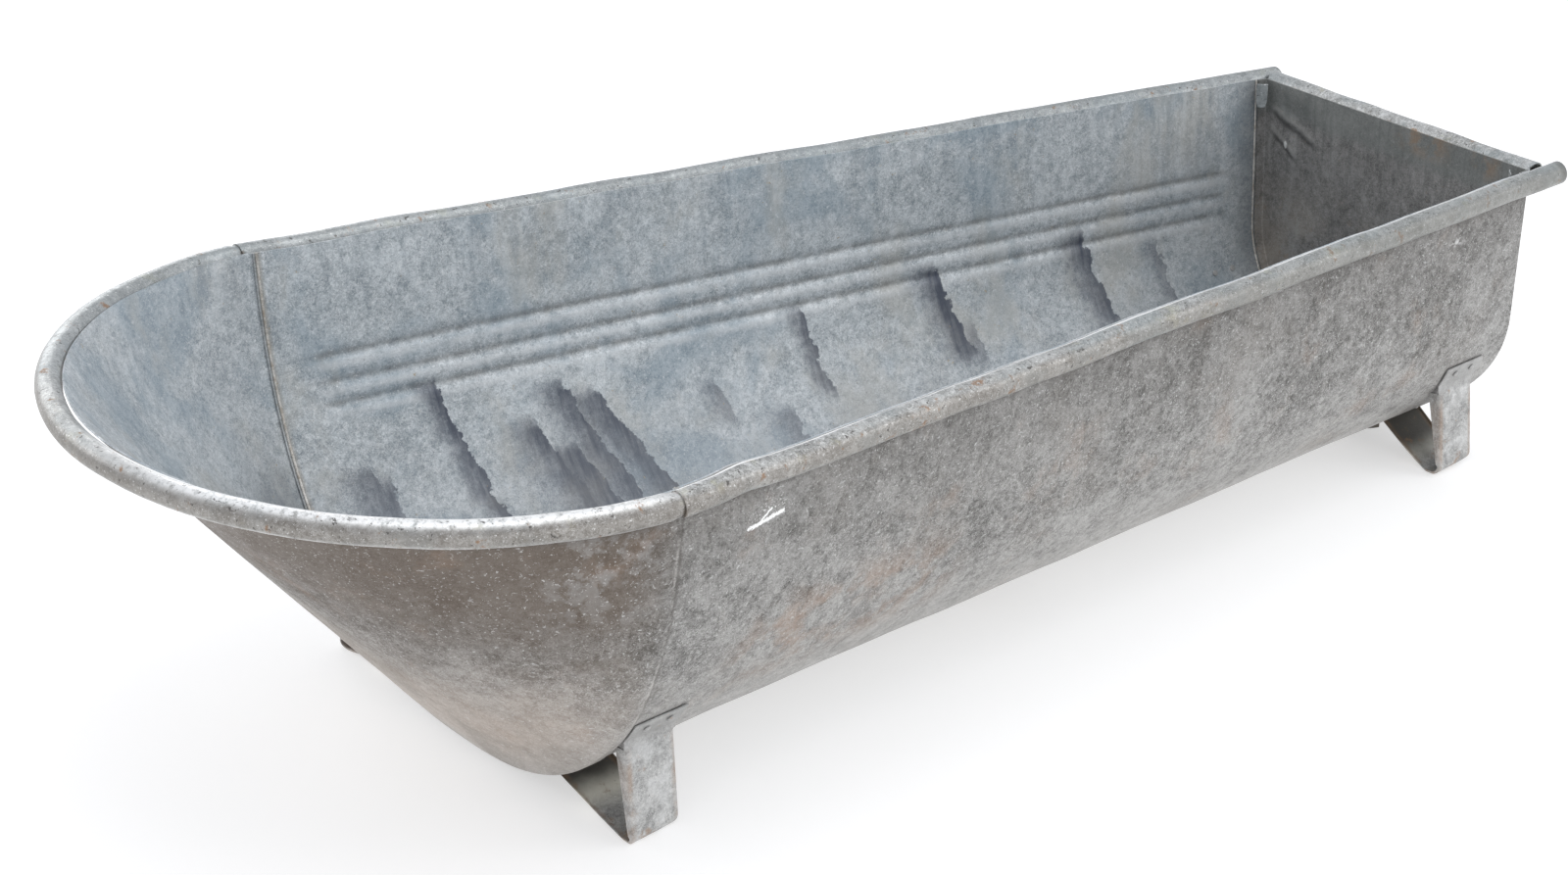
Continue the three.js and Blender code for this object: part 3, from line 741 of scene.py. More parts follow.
def weathered_end(name):
    finish = Finish(name, metallic=0.35)
    # darker greys than the inside: partly painted shade, partly dirt
    dark, light = (0.122, 0.117, 0.112), (0.31, 0.300, 0.288)
    colour, tone, height = bare_zinc(finish, dark, light, clouds=1.2, curls=0.35)
    depth = rim_height(BODY_LENGTH) - finish.z
    low = finish.rise(depth, 0.08, 0.20)
    colour = finish.blend(colour, (0.40, 0.355, 0.305),
                          low * finish.rise(finish.noise(11, 5), 0.40, 0.62) * 0.62)
    runs = finish.rise(finish.noise(1, 5, 0.65, place=finish.stretched(20, 140, 10)), 0.45, 0.68)
    colour = finish.blend(colour, (0.09, 0.09, 0.09), runs * finish.rise(depth, 0.20, 0.02) * 0.5)
    smears = finish.noise(1, 4, 0.6, place=finish.stretched(8, 34, 7, (2, 5, 1)))
    smears = finish.rise(smears, 0.52, 0.66) * finish.rise(depth, 0.02, 0.06)
    colour = finish.blend(colour, (0.40, 0.395, 0.38), smears * 0.34)
    top_band = finish.rise(depth + (finish.noise(14, 4) - 0.5) * 0.03, 0.050, 0.034)
    colour = finish.blend(colour, (0.175, 0.19, 0.18), top_band * 0.55)

    for start_y, start_z, slope, reach, width, push in CREASES:
        off = depth - start_z - (start_y - finish.y) * slope + (finish.noise(45, 3) - 0.5) * 0.010
        run = finish.window(finish.y, start_y - reach, start_y, 0.008)
        # painted highlight on each crease's ridge and painted shade in its valley
        colour = finish.blend(colour, (0.40, 0.39, 0.37), finish.line(off, width) * run * 0.50)
        colour = finish.blend(colour, (0.040, 0.038, 0.036),
                              finish.line(off - width * 1.4, width) * run * 0.62)
    chip_y, chip_z = finish.y - CHIP_Y, depth - CHIP_DOWN
    chip = finish.rise((chip_y * chip_y * 4 + chip_z * chip_z) ** 0.5
                       + (finish.noise(300, 3) - 0.5) * 0.003, 0.0055, 0.0035)
    colour = finish.blend(colour, (0.80, 0.80, 0.77), chip * 0.85)

    rusty = (finish.window(finish.y, -0.075, -0.015, 0.02)
             .at_least(finish.window(finish.y, -0.145, -0.115, 0.012)))
    rust = (finish.rise(finish.noise(34, 6, 0.65), 0.44, 0.60) * rusty
            * finish.rise(depth, 0.040, 0.014))
    rust = rust.at_least(finish.rise(finish.noise(48, 6, 0.7), 0.60, 0.70) * low * 0.6)
    colour = finish.blend(colour, (0.31, 0.205, 0.125), rust * 0.62)
    colour = flecks(finish, colour, 300, 0.35, (0.50, 0.50, 0.49), 0.45)
    colour = flecks(finish, colour, 150, 0.33, (0.28, 0.20, 0.13), 0.40)
    roughness = 0.60 - tone * 0.12 + rust * 0.2
    return finish.done(colour, roughness, 0.4 * MM, height)


end_zinc = weathered_end("end_zinc")

# %% [markdown]
# The rim is what hands and animals touch, and it is worn pale in patches. Its crown round the
# sloping end and the near tube's inner side carry painted highlights, bright bands where light
# glints along the tube. Between them the old zinc keeps a blue and yellowish bloom, black specks
# and small rust spots, and the far tube is duller. The finish measures how far a place lies inside
# the tube's middle line, so that the painted highlight bands follow the rim all the way.

# %% Zinc of the rim
STUB = (0.782, 0.793)       # the open ends past the flat end darken between these places


def worn_rim(name):
    finish = Finish(name, metallic=0.55)
    dark, light = (0.175, 0.176, 0.168), (0.47, 0.475, 0.465)
    colour, tone, height = bare_zinc(finish, dark, light, clouds=1.0, curls=0.8)
    along = finish.x - SEAM_X
    blue = finish.rise(finish.noise(16, 5, 0.6), 0.48, 0.64)
    colour = finish.blend(colour, (0.26, 0.31, 0.325), blue * 0.38)
    lime = finish.rise(finish.noise(34, 5, 0.65), 0.58, 0.68)
    colour = finish.blend(colour, (0.42, 0.41, 0.27), lime * 0.35)
    rubbed = finish.rise(finish.noise(85, 5, 0.7), 0.50, 0.62)
    worn = rubbed * finish.rise(finish.noise(26, 4, 0.6), 0.42, 0.60)
    colour = finish.blend(colour, (0.70, 0.71, 0.705), worn * 0.50)
    far = finish.rise(finish.y, 0.10, 0.18)
    colour = finish.blend(colour, (0.255, 0.285, 0.295), far * 0.50)

    behind = along.at_most(0.0)
    radial = (behind * behind + finish.y * finish.y) ** 0.5
    inner = (WIDE_HALF + RIM_R) - along.at_least(0.0) * TAPER - radial
    front = finish.rise(finish.y, 0.06, -0.06)
    # painted highlight along the rim's crown round the sloping end
    crown_highlight = (finish.window(inner, -0.0072, 0.0040, 0.003) * finish.rise(along, 0.02, -0.05)
             * finish.rise(finish.noise(150, 4, 0.7), 0.30, 0.56) * front)
    colour = finish.blend(colour, (0.90, 0.905, 0.90), crown_highlight * 0.86)
    tip = finish.rise(along, -0.26, -0.36) * finish.rise(finish.y, -0.14, -0.04)
    colour = finish.blend(colour, (0.22, 0.225, 0.22), tip * 0.60)
    grime = finish.rise(inner, -0.004, -0.0105)
    colour = finish.blend(colour, (0.20, 0.17, 0.14), grime * 0.52)

    colour = flecks(finish, colour, 160, 0.37, (0.06, 0.055, 0.05), 0.80)
    colour = flecks(finish, colour, 420, 0.37, (0.80, 0.80, 0.79), 0.65)
    rust = finish.rise(finish.noise(52, 5, 0.7), 0.60, 0.69)
    colour = finish.blend(colour, (0.27, 0.15, 0.075), rust * 0.75)
    # painted highlight along the near tube's inner side, which also lowers metallic there
    inner_highlight = (finish.window(inner, 0.0040, 0.0110, 0.0008) * front
              * finish.rise(finish.noise(20, 4, 0.6), 0.26, 0.48))
    colour = finish.blend(colour, (0.93, 0.93, 0.92), inner_highlight * 0.90)
    joint = finish.line(along + 0.007, 0.0035) * finish.rise(finish.noise(90, 4), 0.42, 0.60)
    colour = finish.blend(colour, (0.10, 0.07, 0.045), joint * 0.7)

    dull_end = finish.rise(along, 0.35, 1.0) * finish.rise(inner, 0.006, 0.0)
    colour = finish.blend(colour, (0.185, 0.205, 0.198), dull_end * 0.42)
    stub = finish.rise(finish.x, *STUB)
    colour = finish.blend(colour, (0.12, 0.12, 0.11), stub * 0.6)
    roughness = 0.46 - tone * 0.16 + rust * 0.25
    return finish.done(colour, roughness, 0.6 * MM, height, 0.55 - inner_highlight * 0.5)


rim_zinc = worn_rim("rim_zinc")

# %% [markdown]
# The feet are of paler sheet. Their bends have rusted, and the lap has taken the wall's grey, so
# that it hardly shows. The inner sides of the legs are pale near the folds, and under the belly
# they carry a nearly black painted shade, where little light comes. Both follow how far a place is
# from the trough's middle.

# %% Zinc of the feet
def worn_strap(name):
    finish = Finish(name, metallic=0.30)
    dark, light = (0.24, 0.24, 0.234), (0.50, 0.50, 0.49)
    colour, tone, height = bare_zinc(finish, dark, light, clouds=1.2, curls=0.45)
    pale = finish.rise(finish.noise(42, 5, 0.6), 0.48, 0.66)
    colour = finish.blend(colour, (0.72, 0.725, 0.72), pale * 0.42)

    lap = finish.rise(finish.z, 0.086, 0.102)
    colour = finish.blend(colour, (0.34, 0.335, 0.325), lap * 0.60)
    nose_foot = finish.rise(finish.x, 0.45, 0.40)
    half = finish.y.absolute() - nose_foot * 0.030
    inner = finish.rise(half, 0.158, 0.128)
    colour = finish.blend(colour, (0.80, 0.78, 0.68), inner * 0.85)
    # painted shade, nearly black, on the legs' inner sides under the belly
    shaded = half + (finish.noise(40, 3) - 0.5) * 0.012 + (nose_foot - 1) * 0.014
    belly_shade = finish.rise(shaded, 0.136, 0.106)
    colour = finish.blend(colour, (0.022, 0.020, 0.018), belly_shade * 0.90)

    low = finish.rise(finish.z, 0.030, 0.001)
    rust = finish.rise(finish.noise(60, 6, 0.7) + low * 0.10, 0.60, 0.72)
    bends = None
    for start in FOOT_STARTS:
        for at in (start + 3 * MM, start + STRAP_WIDTH - 2 * MM):
            bend = finish.line(finish.x - (SEAM_X + at), 0.006)
            bends = bend if bends is None else bends.at_least(bend)
    bends = bends * finish.rise(finish.noise(36, 5, 0.65), 0.36, 0.58)
    bends = bends * finish.rise(finish.z, 0.10, 0.07)
    rust = rust.at_least(bends * 0.85)
    colour = finish.blend(colour, (0.33, 0.215, 0.135), rust * 0.60)
    colour = flecks(finish, colour, 260, 0.34, (0.12, 0.11, 0.10), 0.5)
    roughness = 0.60 - tone * 0.12 + rust * 0.2
    return finish.done(colour, roughness, 0.4 * MM, height)


strap_zinc = worn_strap("strap_zinc")

# %% [markdown]
# Solder is paler and a little warmer than the zinc beside it, and brown dirt sticks in its dips.
# It could share the inside's finish, but then the seams would vanish.

# %% Solder
def dull_solder(name):
    finish = Finish(name, metallic=0.5)
    dark, light = (0.40, 0.37, 0.33), (0.80, 0.77, 0.72)
    colour, tone, height = bare_zinc(finish, dark, light, clouds=0.9, curls=0.3)
    dirt = finish.rise(finish.noise(70, 5, 0.65), 0.48, 0.66)
    colour = finish.blend(colour, (0.30, 0.235, 0.165), dirt * 0.65)
    roughness = 0.46 - tone * 0.1 + dirt * 0.25
    return finish.done(colour, roughness, 0.7 * MM, height)


solder_grey = dull_solder("solder_grey")

# %% [markdown]
# ## The tub's sheets
# A sheet bent in two directions has no flat face to extrude, so each one starts as a flat grid
# whose points are moved onto the form. Solidify then gives it its thickness, and puts the inner
# face on the second finish, as the real sheet weathered differently on its two sides.

# %% Sheet helpers
def bent_sheet(name, columns, rows, place, materials, thickness=SHEET, weld=False):
    """A flat grid whose points are moved to place(u, v), then thickened along its normal."""
    deselect()
    bpy.ops.mesh.primitive_grid_add(x_subdivisions=columns, y_subdivisions=rows, size=1)
    piece = bpy.context.object
    piece.name = name
    for material in materials:
        piece.data.materials.append(material)
    for vertex in piece.data.vertices:
        vertex.co = place(vertex.co.x + 0.5, vertex.co.y + 0.5)
    if weld:
        bpy.ops.object.mode_set(mode="EDIT")
        bpy.ops.mesh.select_all(action="SELECT")
        bpy.ops.mesh.remove_doubles(threshold=2e-5)
        bpy.ops.object.mode_set(mode="OBJECT")
    apply_modifier(piece, "SOLIDIFY", thickness=thickness, offset=1, use_even_offset=False,
                   material_offset=1)
    return piece


def finish_piece(piece, slot, *nodes):
    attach(piece, "root")
    if nodes:
        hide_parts(*nodes)
    print(f"{piece.name}: {len(piece.data.polygons)} faces")
    return piece


print(f"sheets are {1000 * SHEET:.1f} mm thick")

# %% [markdown]
# The body is one long sheet, bent into a U. Its grid is finer round the section than along the
# trough, because the pressed ribs run lengthwise and need several rows each. The unevenness and
# the ribs are added to the plain form along its own normal. Near the top the sheet also strays
# with the rim, so that the two never part.

# %% Body sheet
def body_place(u, v):
    x = u * BODY_LENGTH
    push = beaten(x, v) + rib_press(x, v)
    top = 1 - ease(row_depth(x, 1 - abs(2 * v - 1)), 0.012, 0.09)
    stray = side_wander(x, -1 if v < 0.5 else 1) * top
    return body_point(x, v) + body_outward(x, v) * push + stray


tub_wall = bent_sheet("tub_wall", 200, 240, body_place, [inside_zinc, outside_zinc])
smooth(tub_wall)
finish_piece(tub_wall, "zinc_sheet", "body_sheet")

# %% [markdown]
# The round end is one piece of sheet too. Straight lines run from the rim's half ring down to
# the body's section, like the staves of a half cone, and its back edge laps over the body,
# where it was soldered.

# %% Round end sheet
NOSE_BEND = 2 * MM
NOSE_TOP_EDGE = 4 * MM
NOSE_BEND_AT = 0.94


def nose_place(u, v):
    clear = SHEET + GAP
    seam = body_point(0, v) + body_outward(0, v) * clear
    seam.x -= NOSE_BEND
    if u > NOSE_BEND_AT:
        lap = body_point(LAP, v) + body_outward(LAP, v) * clear
        return seam.lerp(lap, (u - NOSE_BEND_AT) / (1 - NOSE_BEND_AT))
    body = body_point(0, v)
    rise = min(max((SEAM_RIM_HEIGHT - EDGE_BELOW_RIM - body.z) / WIDE_DEPTH, 0), 1)
    angle = math.atan2(abs(body.y) / WIDE_HALF, rise)
    side = 0 if abs(v - 0.5) < 1e-6 else math.copysign(1, v - 0.5)
    reach = -NOSE_TOP_EDGE - (NOSE_LENGTH - GAP - NOSE_TOP_EDGE) * math.cos(angle)
    rim = Vector((SEAM_X + reach, side * (WIDE_HALF - GAP) * math.sin(angle),
                  rim_height(reach) - EDGE_BELOW_RIM))
    k = u / NOSE_BEND_AT
    spot = rim.lerp(seam, k)
    free = ease(k, 0.02, 0.2) * ease(1 - k, 0.02, 0.2) * ease(1 - abs(2 * v - 1), 0, 0.2)
    hollow = 1.6 * wander(spot, 0.17, 4) + 0.6 * wander(spot, 0.06, 5)
    outward = (spot - Vector((SEAM_X, 0, SEAM_RIM_HEIGHT))).normalized()
    stray = round_wander(side * angle) * (1 - ease(k, 0.02, 0.3))
    return spot + outward * hollow * MM * free + stray


round_end_wall = bent_sheet("round_end_wall", 70, 200, nose_place, [inside_zinc, outside_zinc])
smooth(round_end_wall)
finish_piece(round_end_wall, "zinc_sheet", "nose_sheet")

# %% [markdown]
# The flat end is a plate with its edge folded forwards, so that the fold lies inside the body
# and could be soldered there. It has taken knocks: it bellies a little, and near the far upper
# corner it is creased.

# %% Flat end sheet
FOLD_RADIUS = 2.5 * MM
FLANGE_PART = 0.12
FOLD_PART = 0.12
DINT_Y, DINT_DOWN, DINT_SOFT, DINT_DEEP = 0.128, 0.045, 0.016, 4.0


def knocks(y, depth):
    """How far the plate is pushed towards the tub, in metres."""
    place = Vector((y, depth, 0))
    belly = 1.6 * wander(place, 0.10, 6) + 0.5 * wander(place, 0.035, 7)
    creases = 0.0
    for start_y, start_z, slope, reach, width, push in CREASES:
        off = depth - start_z - (start_y - y) * slope
        stop_y = start_y - reach
        run = ease(y, stop_y - 0.01, stop_y + 0.01) * ease(start_y - y, 0.0, 0.015)
        creases += push * math.exp(-(off / width) ** 2) * run
    dint = -DINT_DEEP * math.exp(-(math.hypot(y - DINT_Y, depth - DINT_DOWN) / DINT_SOFT) ** 2)
    return (belly + creases + dint) * MM


def end_place(u, v):
    inset = SHEET + GAP
    x_end = BODY_LENGTH
    if u <= FLANGE_PART:
        x = mix(x_end - END_FLANGE, x_end - FOLD_RADIUS, u / FLANGE_PART)
        return body_point(x, v) - body_outward(x, v) * inset
    outline = body_point(x_end, v) - body_outward(x_end, v) * inset
    inward = -body_outward(x_end, v)
    if u <= FLANGE_PART + FOLD_PART:
        turn = (u - FLANGE_PART) / FOLD_PART * math.pi / 2
        spot = outline + inward * FOLD_RADIUS * (1 - math.cos(turn))
        spot.x = SEAM_X + x_end - FOLD_RADIUS * (1 - math.sin(turn))
        return spot
    share = (u - FLANGE_PART - FOLD_PART) / (1 - FLANGE_PART - FOLD_PART)
    start = outline + inward * FOLD_RADIUS
    start.x = SEAM_X + x_end
    spot = Vector((start.x, start.y * (1 - share), start.z))
    depth = rim_height(x_end) - spot.z
    clear = abs(start.y) - abs(spot.y)
    free = ease(clear, 0.004, 0.03) * ease(depth, 0.006, 0.03)
    spot.x -= max(knocks(spot.y, depth), -2 * MM) * free
    return spot


flat_end_wall = bent_sheet("flat_end_wall", 64, 180, end_place, [end_zinc, outside_zinc],
                           weld=True)
smooth(flat_end_wall)
finish_piece(flat_end_wall, "zinc_sheet", "end_sheet")

# %% [markdown]
# Solder was run along both seams on the inside. A bead is a thin uneven worm that fills the
# corner, so it is a grid wrapped into a flattened tube, with its ends closed.

# %% Solder beads
BEAD_WIDTH = 5 * MM
BEAD_HEIGHT = 1.2 * MM


def solder_bead(name, start_x, node):
    def place(u, v):
        turn = 2 * math.pi * u
        along = body_point(start_x, v)
        swell = 0.5 + 0.5 * wander(along, 0.012, 8) + 0.25 * wander(along, 0.004, 9)
        half = BEAD_WIDTH / 2 * (0.36 + 0.22 * swell)
        height = BEAD_HEIGHT * (0.5 + 0.5 * swell)
        x = start_x + BEAD_WIDTH / 2 + half * math.cos(turn)
        rise = SHEET + GAP + height * (0.5 - 0.5 * math.sin(turn))
        return body_point(x, v) - body_outward(x, v) * rise

    deselect()
    bpy.ops.mesh.primitive_grid_add(x_subdivisions=12, y_subdivisions=300, size=1)
    bead = bpy.context.object
    bead.name = name
    bead.data.materials.append(solder_grey)
    for vertex in bead.data.vertices:
        vertex.co = place(vertex.co.x + 0.5, vertex.co.y + 0.5)
    bpy.ops.object.mode_set(mode="EDIT")
    bpy.ops.mesh.select_all(action="SELECT")
    bpy.ops.mesh.remove_doubles(threshold=1e-5)
    bpy.ops.mesh.fill_holes(sides=0)
    bpy.ops.mesh.select_all(action="SELECT")
    bpy.ops.mesh.normals_make_consistent(inside=False)
    bpy.ops.object.mode_set(mode="OBJECT")
    smooth(bead, 60)
    return finish_piece(bead, "solder", node)


solder_bead("round_end_solder", 0.5 * MM, "nose_seam_bead")
solder_bead("flat_end_solder", BODY_LENGTH - END_FLANGE - GAP - BEAD_WIDTH, "end_seam_bead")

# %% [markdown]
# ## The rim
# The rim is a hollow tube, rolled from the sheet's edge. Around the round end it is a circle
# spun half a turn about the seam's middle. Along the sides it is a circle drawn out. Then it is
# tilted with the rim, and given the small kinks that the roller and later knocks left in it.

# %% Rim helpers
TUBE_SIDES = 40
LONG_EDGE = 100 * MM


def start_tube(name, place, turn):
    """A ring of the tube's size, in edit mode with all of it selected."""
    deselect()
    bpy.ops.mesh.primitive_circle_add(vertices=TUBE_SIDES, radius=RIM_R, location=place,
                                      rotation=turn)
    tube = bpy.context.object
    tube.name = name
    tube.data.materials.append(rim_zinc)
    bpy.ops.object.transform_apply(location=True, rotation=True, scale=True)
    bpy.ops.object.mode_set(mode="EDIT")
    bpy.ops.mesh.select_all(action="SELECT")
    return tube


def end_tube(tube):
    bpy.ops.mesh.select_all(action="SELECT")
    bpy.ops.mesh.remove_doubles(threshold=1e-6)
    bpy.ops.mesh.normals_make_consistent(inside=False)
    bpy.ops.object.mode_set(mode="OBJECT")


def dimple(tube, axis_point, seed):
    """Dents each point a little towards the tube's own axis."""
    for vertex in tube.data.vertices:
        axis = axis_point(vertex.co)
        fine = 0.35 * abs(wander(vertex.co, 0.022, seed))
        broad = 0.25 * abs(wander(vertex.co, 0.055, seed + 1))
        vertex.co += (axis - vertex.co).normalized() * (fine + broad) * MM


def cut_lengthwise(tube, cuts):
    """Adds rings by cutting the long edges only."""
    deselect()
    tube.select_set(True)
    bpy.context.view_layer.objects.active = tube
    bpy.ops.object.mode_set(mode="EDIT")
    bpy.ops.mesh.select_mode(type="EDGE")
    bpy.ops.mesh.select_all(action="DESELECT")
    bpy.ops.object.mode_set(mode="OBJECT")
    points = tube.data.vertices
    for edge in tube.data.edges:
        a, b = (points[i].co for i in edge.vertices)
        edge.select = (a - b).length > LONG_EDGE
    bpy.ops.object.mode_set(mode="EDIT")
    bpy.ops.mesh.subdivide_edgering(number_cuts=cuts, interpolation="LINEAR", smoothness=0)
    bpy.ops.mesh.select_mode(type="VERT")
    bpy.ops.object.mode_set(mode="OBJECT")


def wall_tube(tube):
    apply_modifier(tube, "SOLIDIFY", thickness=RIM_WALL, offset=-1, use_even_offset=False)
    smooth(tube, 50)


print(f"the rim tube is {2000 * RIM_R:.0f} mm across, its wall {1000 * RIM_WALL:.1f} mm")

# %% [markdown]
# Round the end, one ring is spun through half a turn. A curve with a round bevel would do as
# well, but a spin leaves both ends open and square, ready for the side tubes. The half circle is
# then widened to the trough's width, and each end is necked in so that a side tube slips over it.

# %% Round rim
NECK = 1.6 * MM
NOSE_RING = NOSE_LENGTH + RIM_R
STRETCH = (WIDE_HALF + RIM_R) / NOSE_RING
round_rim = start_tube("round_rim", (SEAM_X, -NOSE_RING, 0), (0, math.pi / 2, 0))
bpy.ops.mesh.spin(steps=120, angle=math.pi, center=(SEAM_X, 0, 0), axis=(0, 0, 1))
end_tube(round_rim)


def round_axis(point):
    flat = Vector((point.x - SEAM_X, point.y, 0))
    return Vector((SEAM_X, 0, 0)) + flat.normalized() * NOSE_RING


dimple(round_rim, round_axis, 12)
for vertex in round_rim.data.vertices:
    axis = round_axis(vertex.co)
    neck = NECK * ease(vertex.co.x - SEAM_X, -0.016, -0.007)
    vertex.co += (axis - vertex.co).normalized() * neck
for vertex in round_rim.data.vertices:
    vertex.co.y *= STRETCH
    x = vertex.co.x - SEAM_X
    vertex.co += round_wander(math.atan2(vertex.co.y, -x))
    vertex.co.z += rim_height(x) - RIM_R
wall_tube(round_rim)
finish_piece(round_rim, "zinc_rim", "nose_rim_tube")
print("the round end reaches x =", round(min(v.co.x for v in round_rim.data.vertices), 4))

# %% [markdown]
# Each side's tube is one ring, drawn out past the flat end, where it stays open. A tube of long
# faces can't bend, so it is cut into short rings first, and then strays with the wall's top edge,
# by the same function.

# %% Side rims
SLEEVE = 7 * MM             # the side tubes are slipped this far over the round one
END_SHORT = 0.4 * MM        # keeps the kinked tube inside the trough's length
SIDE_RINGS = 160


def side_rim(name, side, node):
    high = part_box(node)[1] - Vector((END_SHORT, 0, 0))
    start = Vector((SEAM_X - SLEEVE, side * (WIDE_HALF + RIM_R), rim_height(0) - RIM_R))
    end_x = high.x - SEAM_X
    end = Vector((high.x, side * (WIDE_HALF - TAPER * end_x + RIM_R), rim_height(end_x) - RIM_R))
    tube = start_tube(name, start, (0, math.pi / 2, 0))
    bpy.ops.mesh.extrude_region_move(TRANSFORM_OT_translate={"value": end - start})
    bpy.ops.mesh.select_all(action="SELECT")
    end_tube(tube)
    cut_lengthwise(tube, SIDE_RINGS)

    def axis(point):
        return start.lerp(end, (point.x - start.x) / (end.x - start.x))

    dimple(tube, axis, 15 + side)
    for vertex in tube.data.vertices:
        vertex.co += side_wander(vertex.co.x - SEAM_X, side)
    wall_tube(tube)
    return finish_piece(tube, "zinc_rim", node)


side_rim("near_rim", -1, "near_rim_tube")
side_rim("far_rim", 1, "far_rim_tube")

# %% [markdown]
# The tube across the flat end is made in the same way, between the two side tubes. It sags a
# little, except at its ends.

# %% End rim
END_RINGS = 60
low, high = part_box("end_rim_tube")
end_centre = (low + high) / 2
end_rim = start_tube("end_rim", (end_centre.x, low.y, end_centre.z), (math.pi / 2, 0, 0))
bpy.ops.mesh.extrude_region_move(TRANSFORM_OT_translate={"value": (0, high.y - low.y, 0)})
end_tube(end_rim)
cut_lengthwise(end_rim, END_RINGS)


def end_axis(point):
    return Vector((end_centre.x, point.y, end_centre.z))


for vertex in end_rim.data.vertices:
    free = ease(abs(low.y) - abs(vertex.co.y), 0, 0.04)
    vertex.co.z -= abs(1.6 * wander(Vector((0, vertex.co.y, 0)), 0.06, 18)) * MM * free
dimple(end_rim, end_axis, 19)
wall_tube(end_rim)
finish_piece(end_rim, "zinc_rim", "end_rim_tube")

# %% [markdown]
# Small tabs bridge the rim at the flat end's corners. Each is a bit of sheet set across the
# corner. A cube would do for a flat one, but this one bulges a little along its middle and
# narrows to a round lower end, so it's a grid that is moved into place and then thickened.

# %% Corner tabs
TAB_SHEET = 1.2 * MM
TAB_BULGE = 0.6 * MM
TAB_FILL = 0.97             # share of the plain tab's size, which leaves room for the bulge


def corner_tab(name, side, node):
    low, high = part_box(node)
    centre = (low + high) / 2
    deselect()
    bpy.ops.mesh.primitive_grid_add(x_subdivisions=16, y_subdivisions=24, size=1)
    tab = bpy.context.object
    tab.name = name
    tab.data.materials.append(rim_zinc)
    height = (high.z - low.z) * TAB_FILL
    width = (high.x - low.x) * TAB_FILL
    for vertex in tab.data.vertices:
        u, v = vertex.co.x, vertex.co.y
        rounded = math.sqrt(max(1 - max(-2 * v - 0.15, 0) ** 2, 0.08))
        across = u * width * rounded
        bulge = TAB_BULGE * (1 - (2 * u) ** 2) + 0.45 * MM * wander(Vector((u, v, side)), 0.4, 21)
        vertex.co = Vector((centre.x + across, centre.y - side * across, centre.z + v * height))
        vertex.co += Vector((-1, -side, 0)).normalized() * bulge
    apply_modifier(tab, "SOLIDIFY", thickness=TAB_SHEET, offset=0)
    apply_modifier(tab, "BEVEL", width=0.35 * MM, segments=2, limit_method="ANGLE")
    smooth(tab)
    return finish_piece(tab, "zinc_sheet", node)


for word, side in SIDES:
    corner_tab(f"{word}_tab", side, f"{word}_corner_tab")

# %% [markdown]
# ## The feet
# A leg is a strap of sheet. It laps up the tub's side under two rivets, stands off as an
# upright plate, folds on the floor and runs back up to the belly. It could be extruded from a
# flat strip, fold by fold, but it has to follow the tub's skin, which is different at each row.
# So its profile is a function: straight stretches joined by an arc at the fold.

# %% Foot profile
# each foot: where it starts along the trough, how far out its plate stands on the floor, the
# plate's lean, how far out its end touches the belly, and the radius of its fold
FEET = {
    "nose_foot": {"x": FOOT_STARTS[0], "plate": 232 * MM, "lean": 0.07, "touch": 119 * MM,
                  "fold": 7 * MM},
    "end_foot": {"x": FOOT_STARTS[1], "plate": 178 * MM, "lean": 0.10, "touch": 98 * MM,
                 "fold": 12 * MM},
}
LAP_TOP = 124 * MM          # heights above the floor
PLATE_TOP = 92 * MM
TREAD = 7 * MM
OFF_SKIN = 1.6 * (GAP + SHEET)
# where each stretch of the strap ends, from 0 at the lap's edge to 1 at the belly
LAP_END, PLATE_END, FOLD_END, TREAD_END = 0.26, 0.58, 0.68, 0.72


def leg_profile(foot, x, v):
    """Half width and height of the strap's outer face; v runs from the lap's edge to the belly."""
    middle = foot["x"] + STRAP_WIDTH / 2
    plate = foot["plate"] - TAPER * (x - middle)
    fold = foot["fold"]
    rim = rim_height(x)
    if v <= PLATE_END:
        if v <= LAP_END:
            height = mix(LAP_TOP, PLATE_TOP, v / LAP_END)
        else:
            height = mix(PLATE_TOP, fold, (v - LAP_END) / (PLATE_END - LAP_END))
        on_body = half_width(x, rim - height) + OFF_SKIN
        free = plate - foot["lean"] * height
        return max(on_body, free), height
    fold_y = plate - foot["lean"] * fold - fold
    if v <= FOLD_END:
        angle = (v - PLATE_END) / (FOLD_END - PLATE_END) * math.pi / 2
        return fold_y + fold * math.cos(angle), fold * (1 - math.sin(angle))
    tread_end = fold_y - TREAD
    if v <= TREAD_END:
        return mix(fold_y, tread_end, (v - FOLD_END) / (TREAD_END - FOLD_END)), 0.0
    t = (v - TREAD_END) / (1 - TREAD_END)
    belly = rim - depth_at(x, foot["touch"]) - GAP - SHEET
    return mix(tread_end, foot["touch"], t), (belly - 1 * MM) * t ** 1.12


for foot_name, foot in FEET.items():
    top_y = leg_profile(foot, foot["x"], 0)[0]
    print(f"{foot_name}: {2000 * top_y:.0f} mm across the laps")

# %% [markdown]
# The strap's two long edges are turned in, for stiffness: deeply at the plate's top, less below
# the fold, and not at all on the lap, which has to lie flat. Its rear edge is cut back where it
# meets the floor, so that the lower corner of the plate is round.

# %% Lips and corner
CORNER = 11 * MM
LIP_TOP, LIP_LOW, LIP_BELOW = 15 * MM, 5 * MM, 3 * MM
LIP_PART = 0.14
LIP_BEND = 2.2 * MM


def lip_depth(v):
    """How far the strap's edges are turned in."""
    if v <= LAP_END:
        return 0.0
    if v <= PLATE_END:
        return mix(LIP_TOP, LIP_LOW, (v - LAP_END) / (PLATE_END - LAP_END))
    return LIP_BELOW


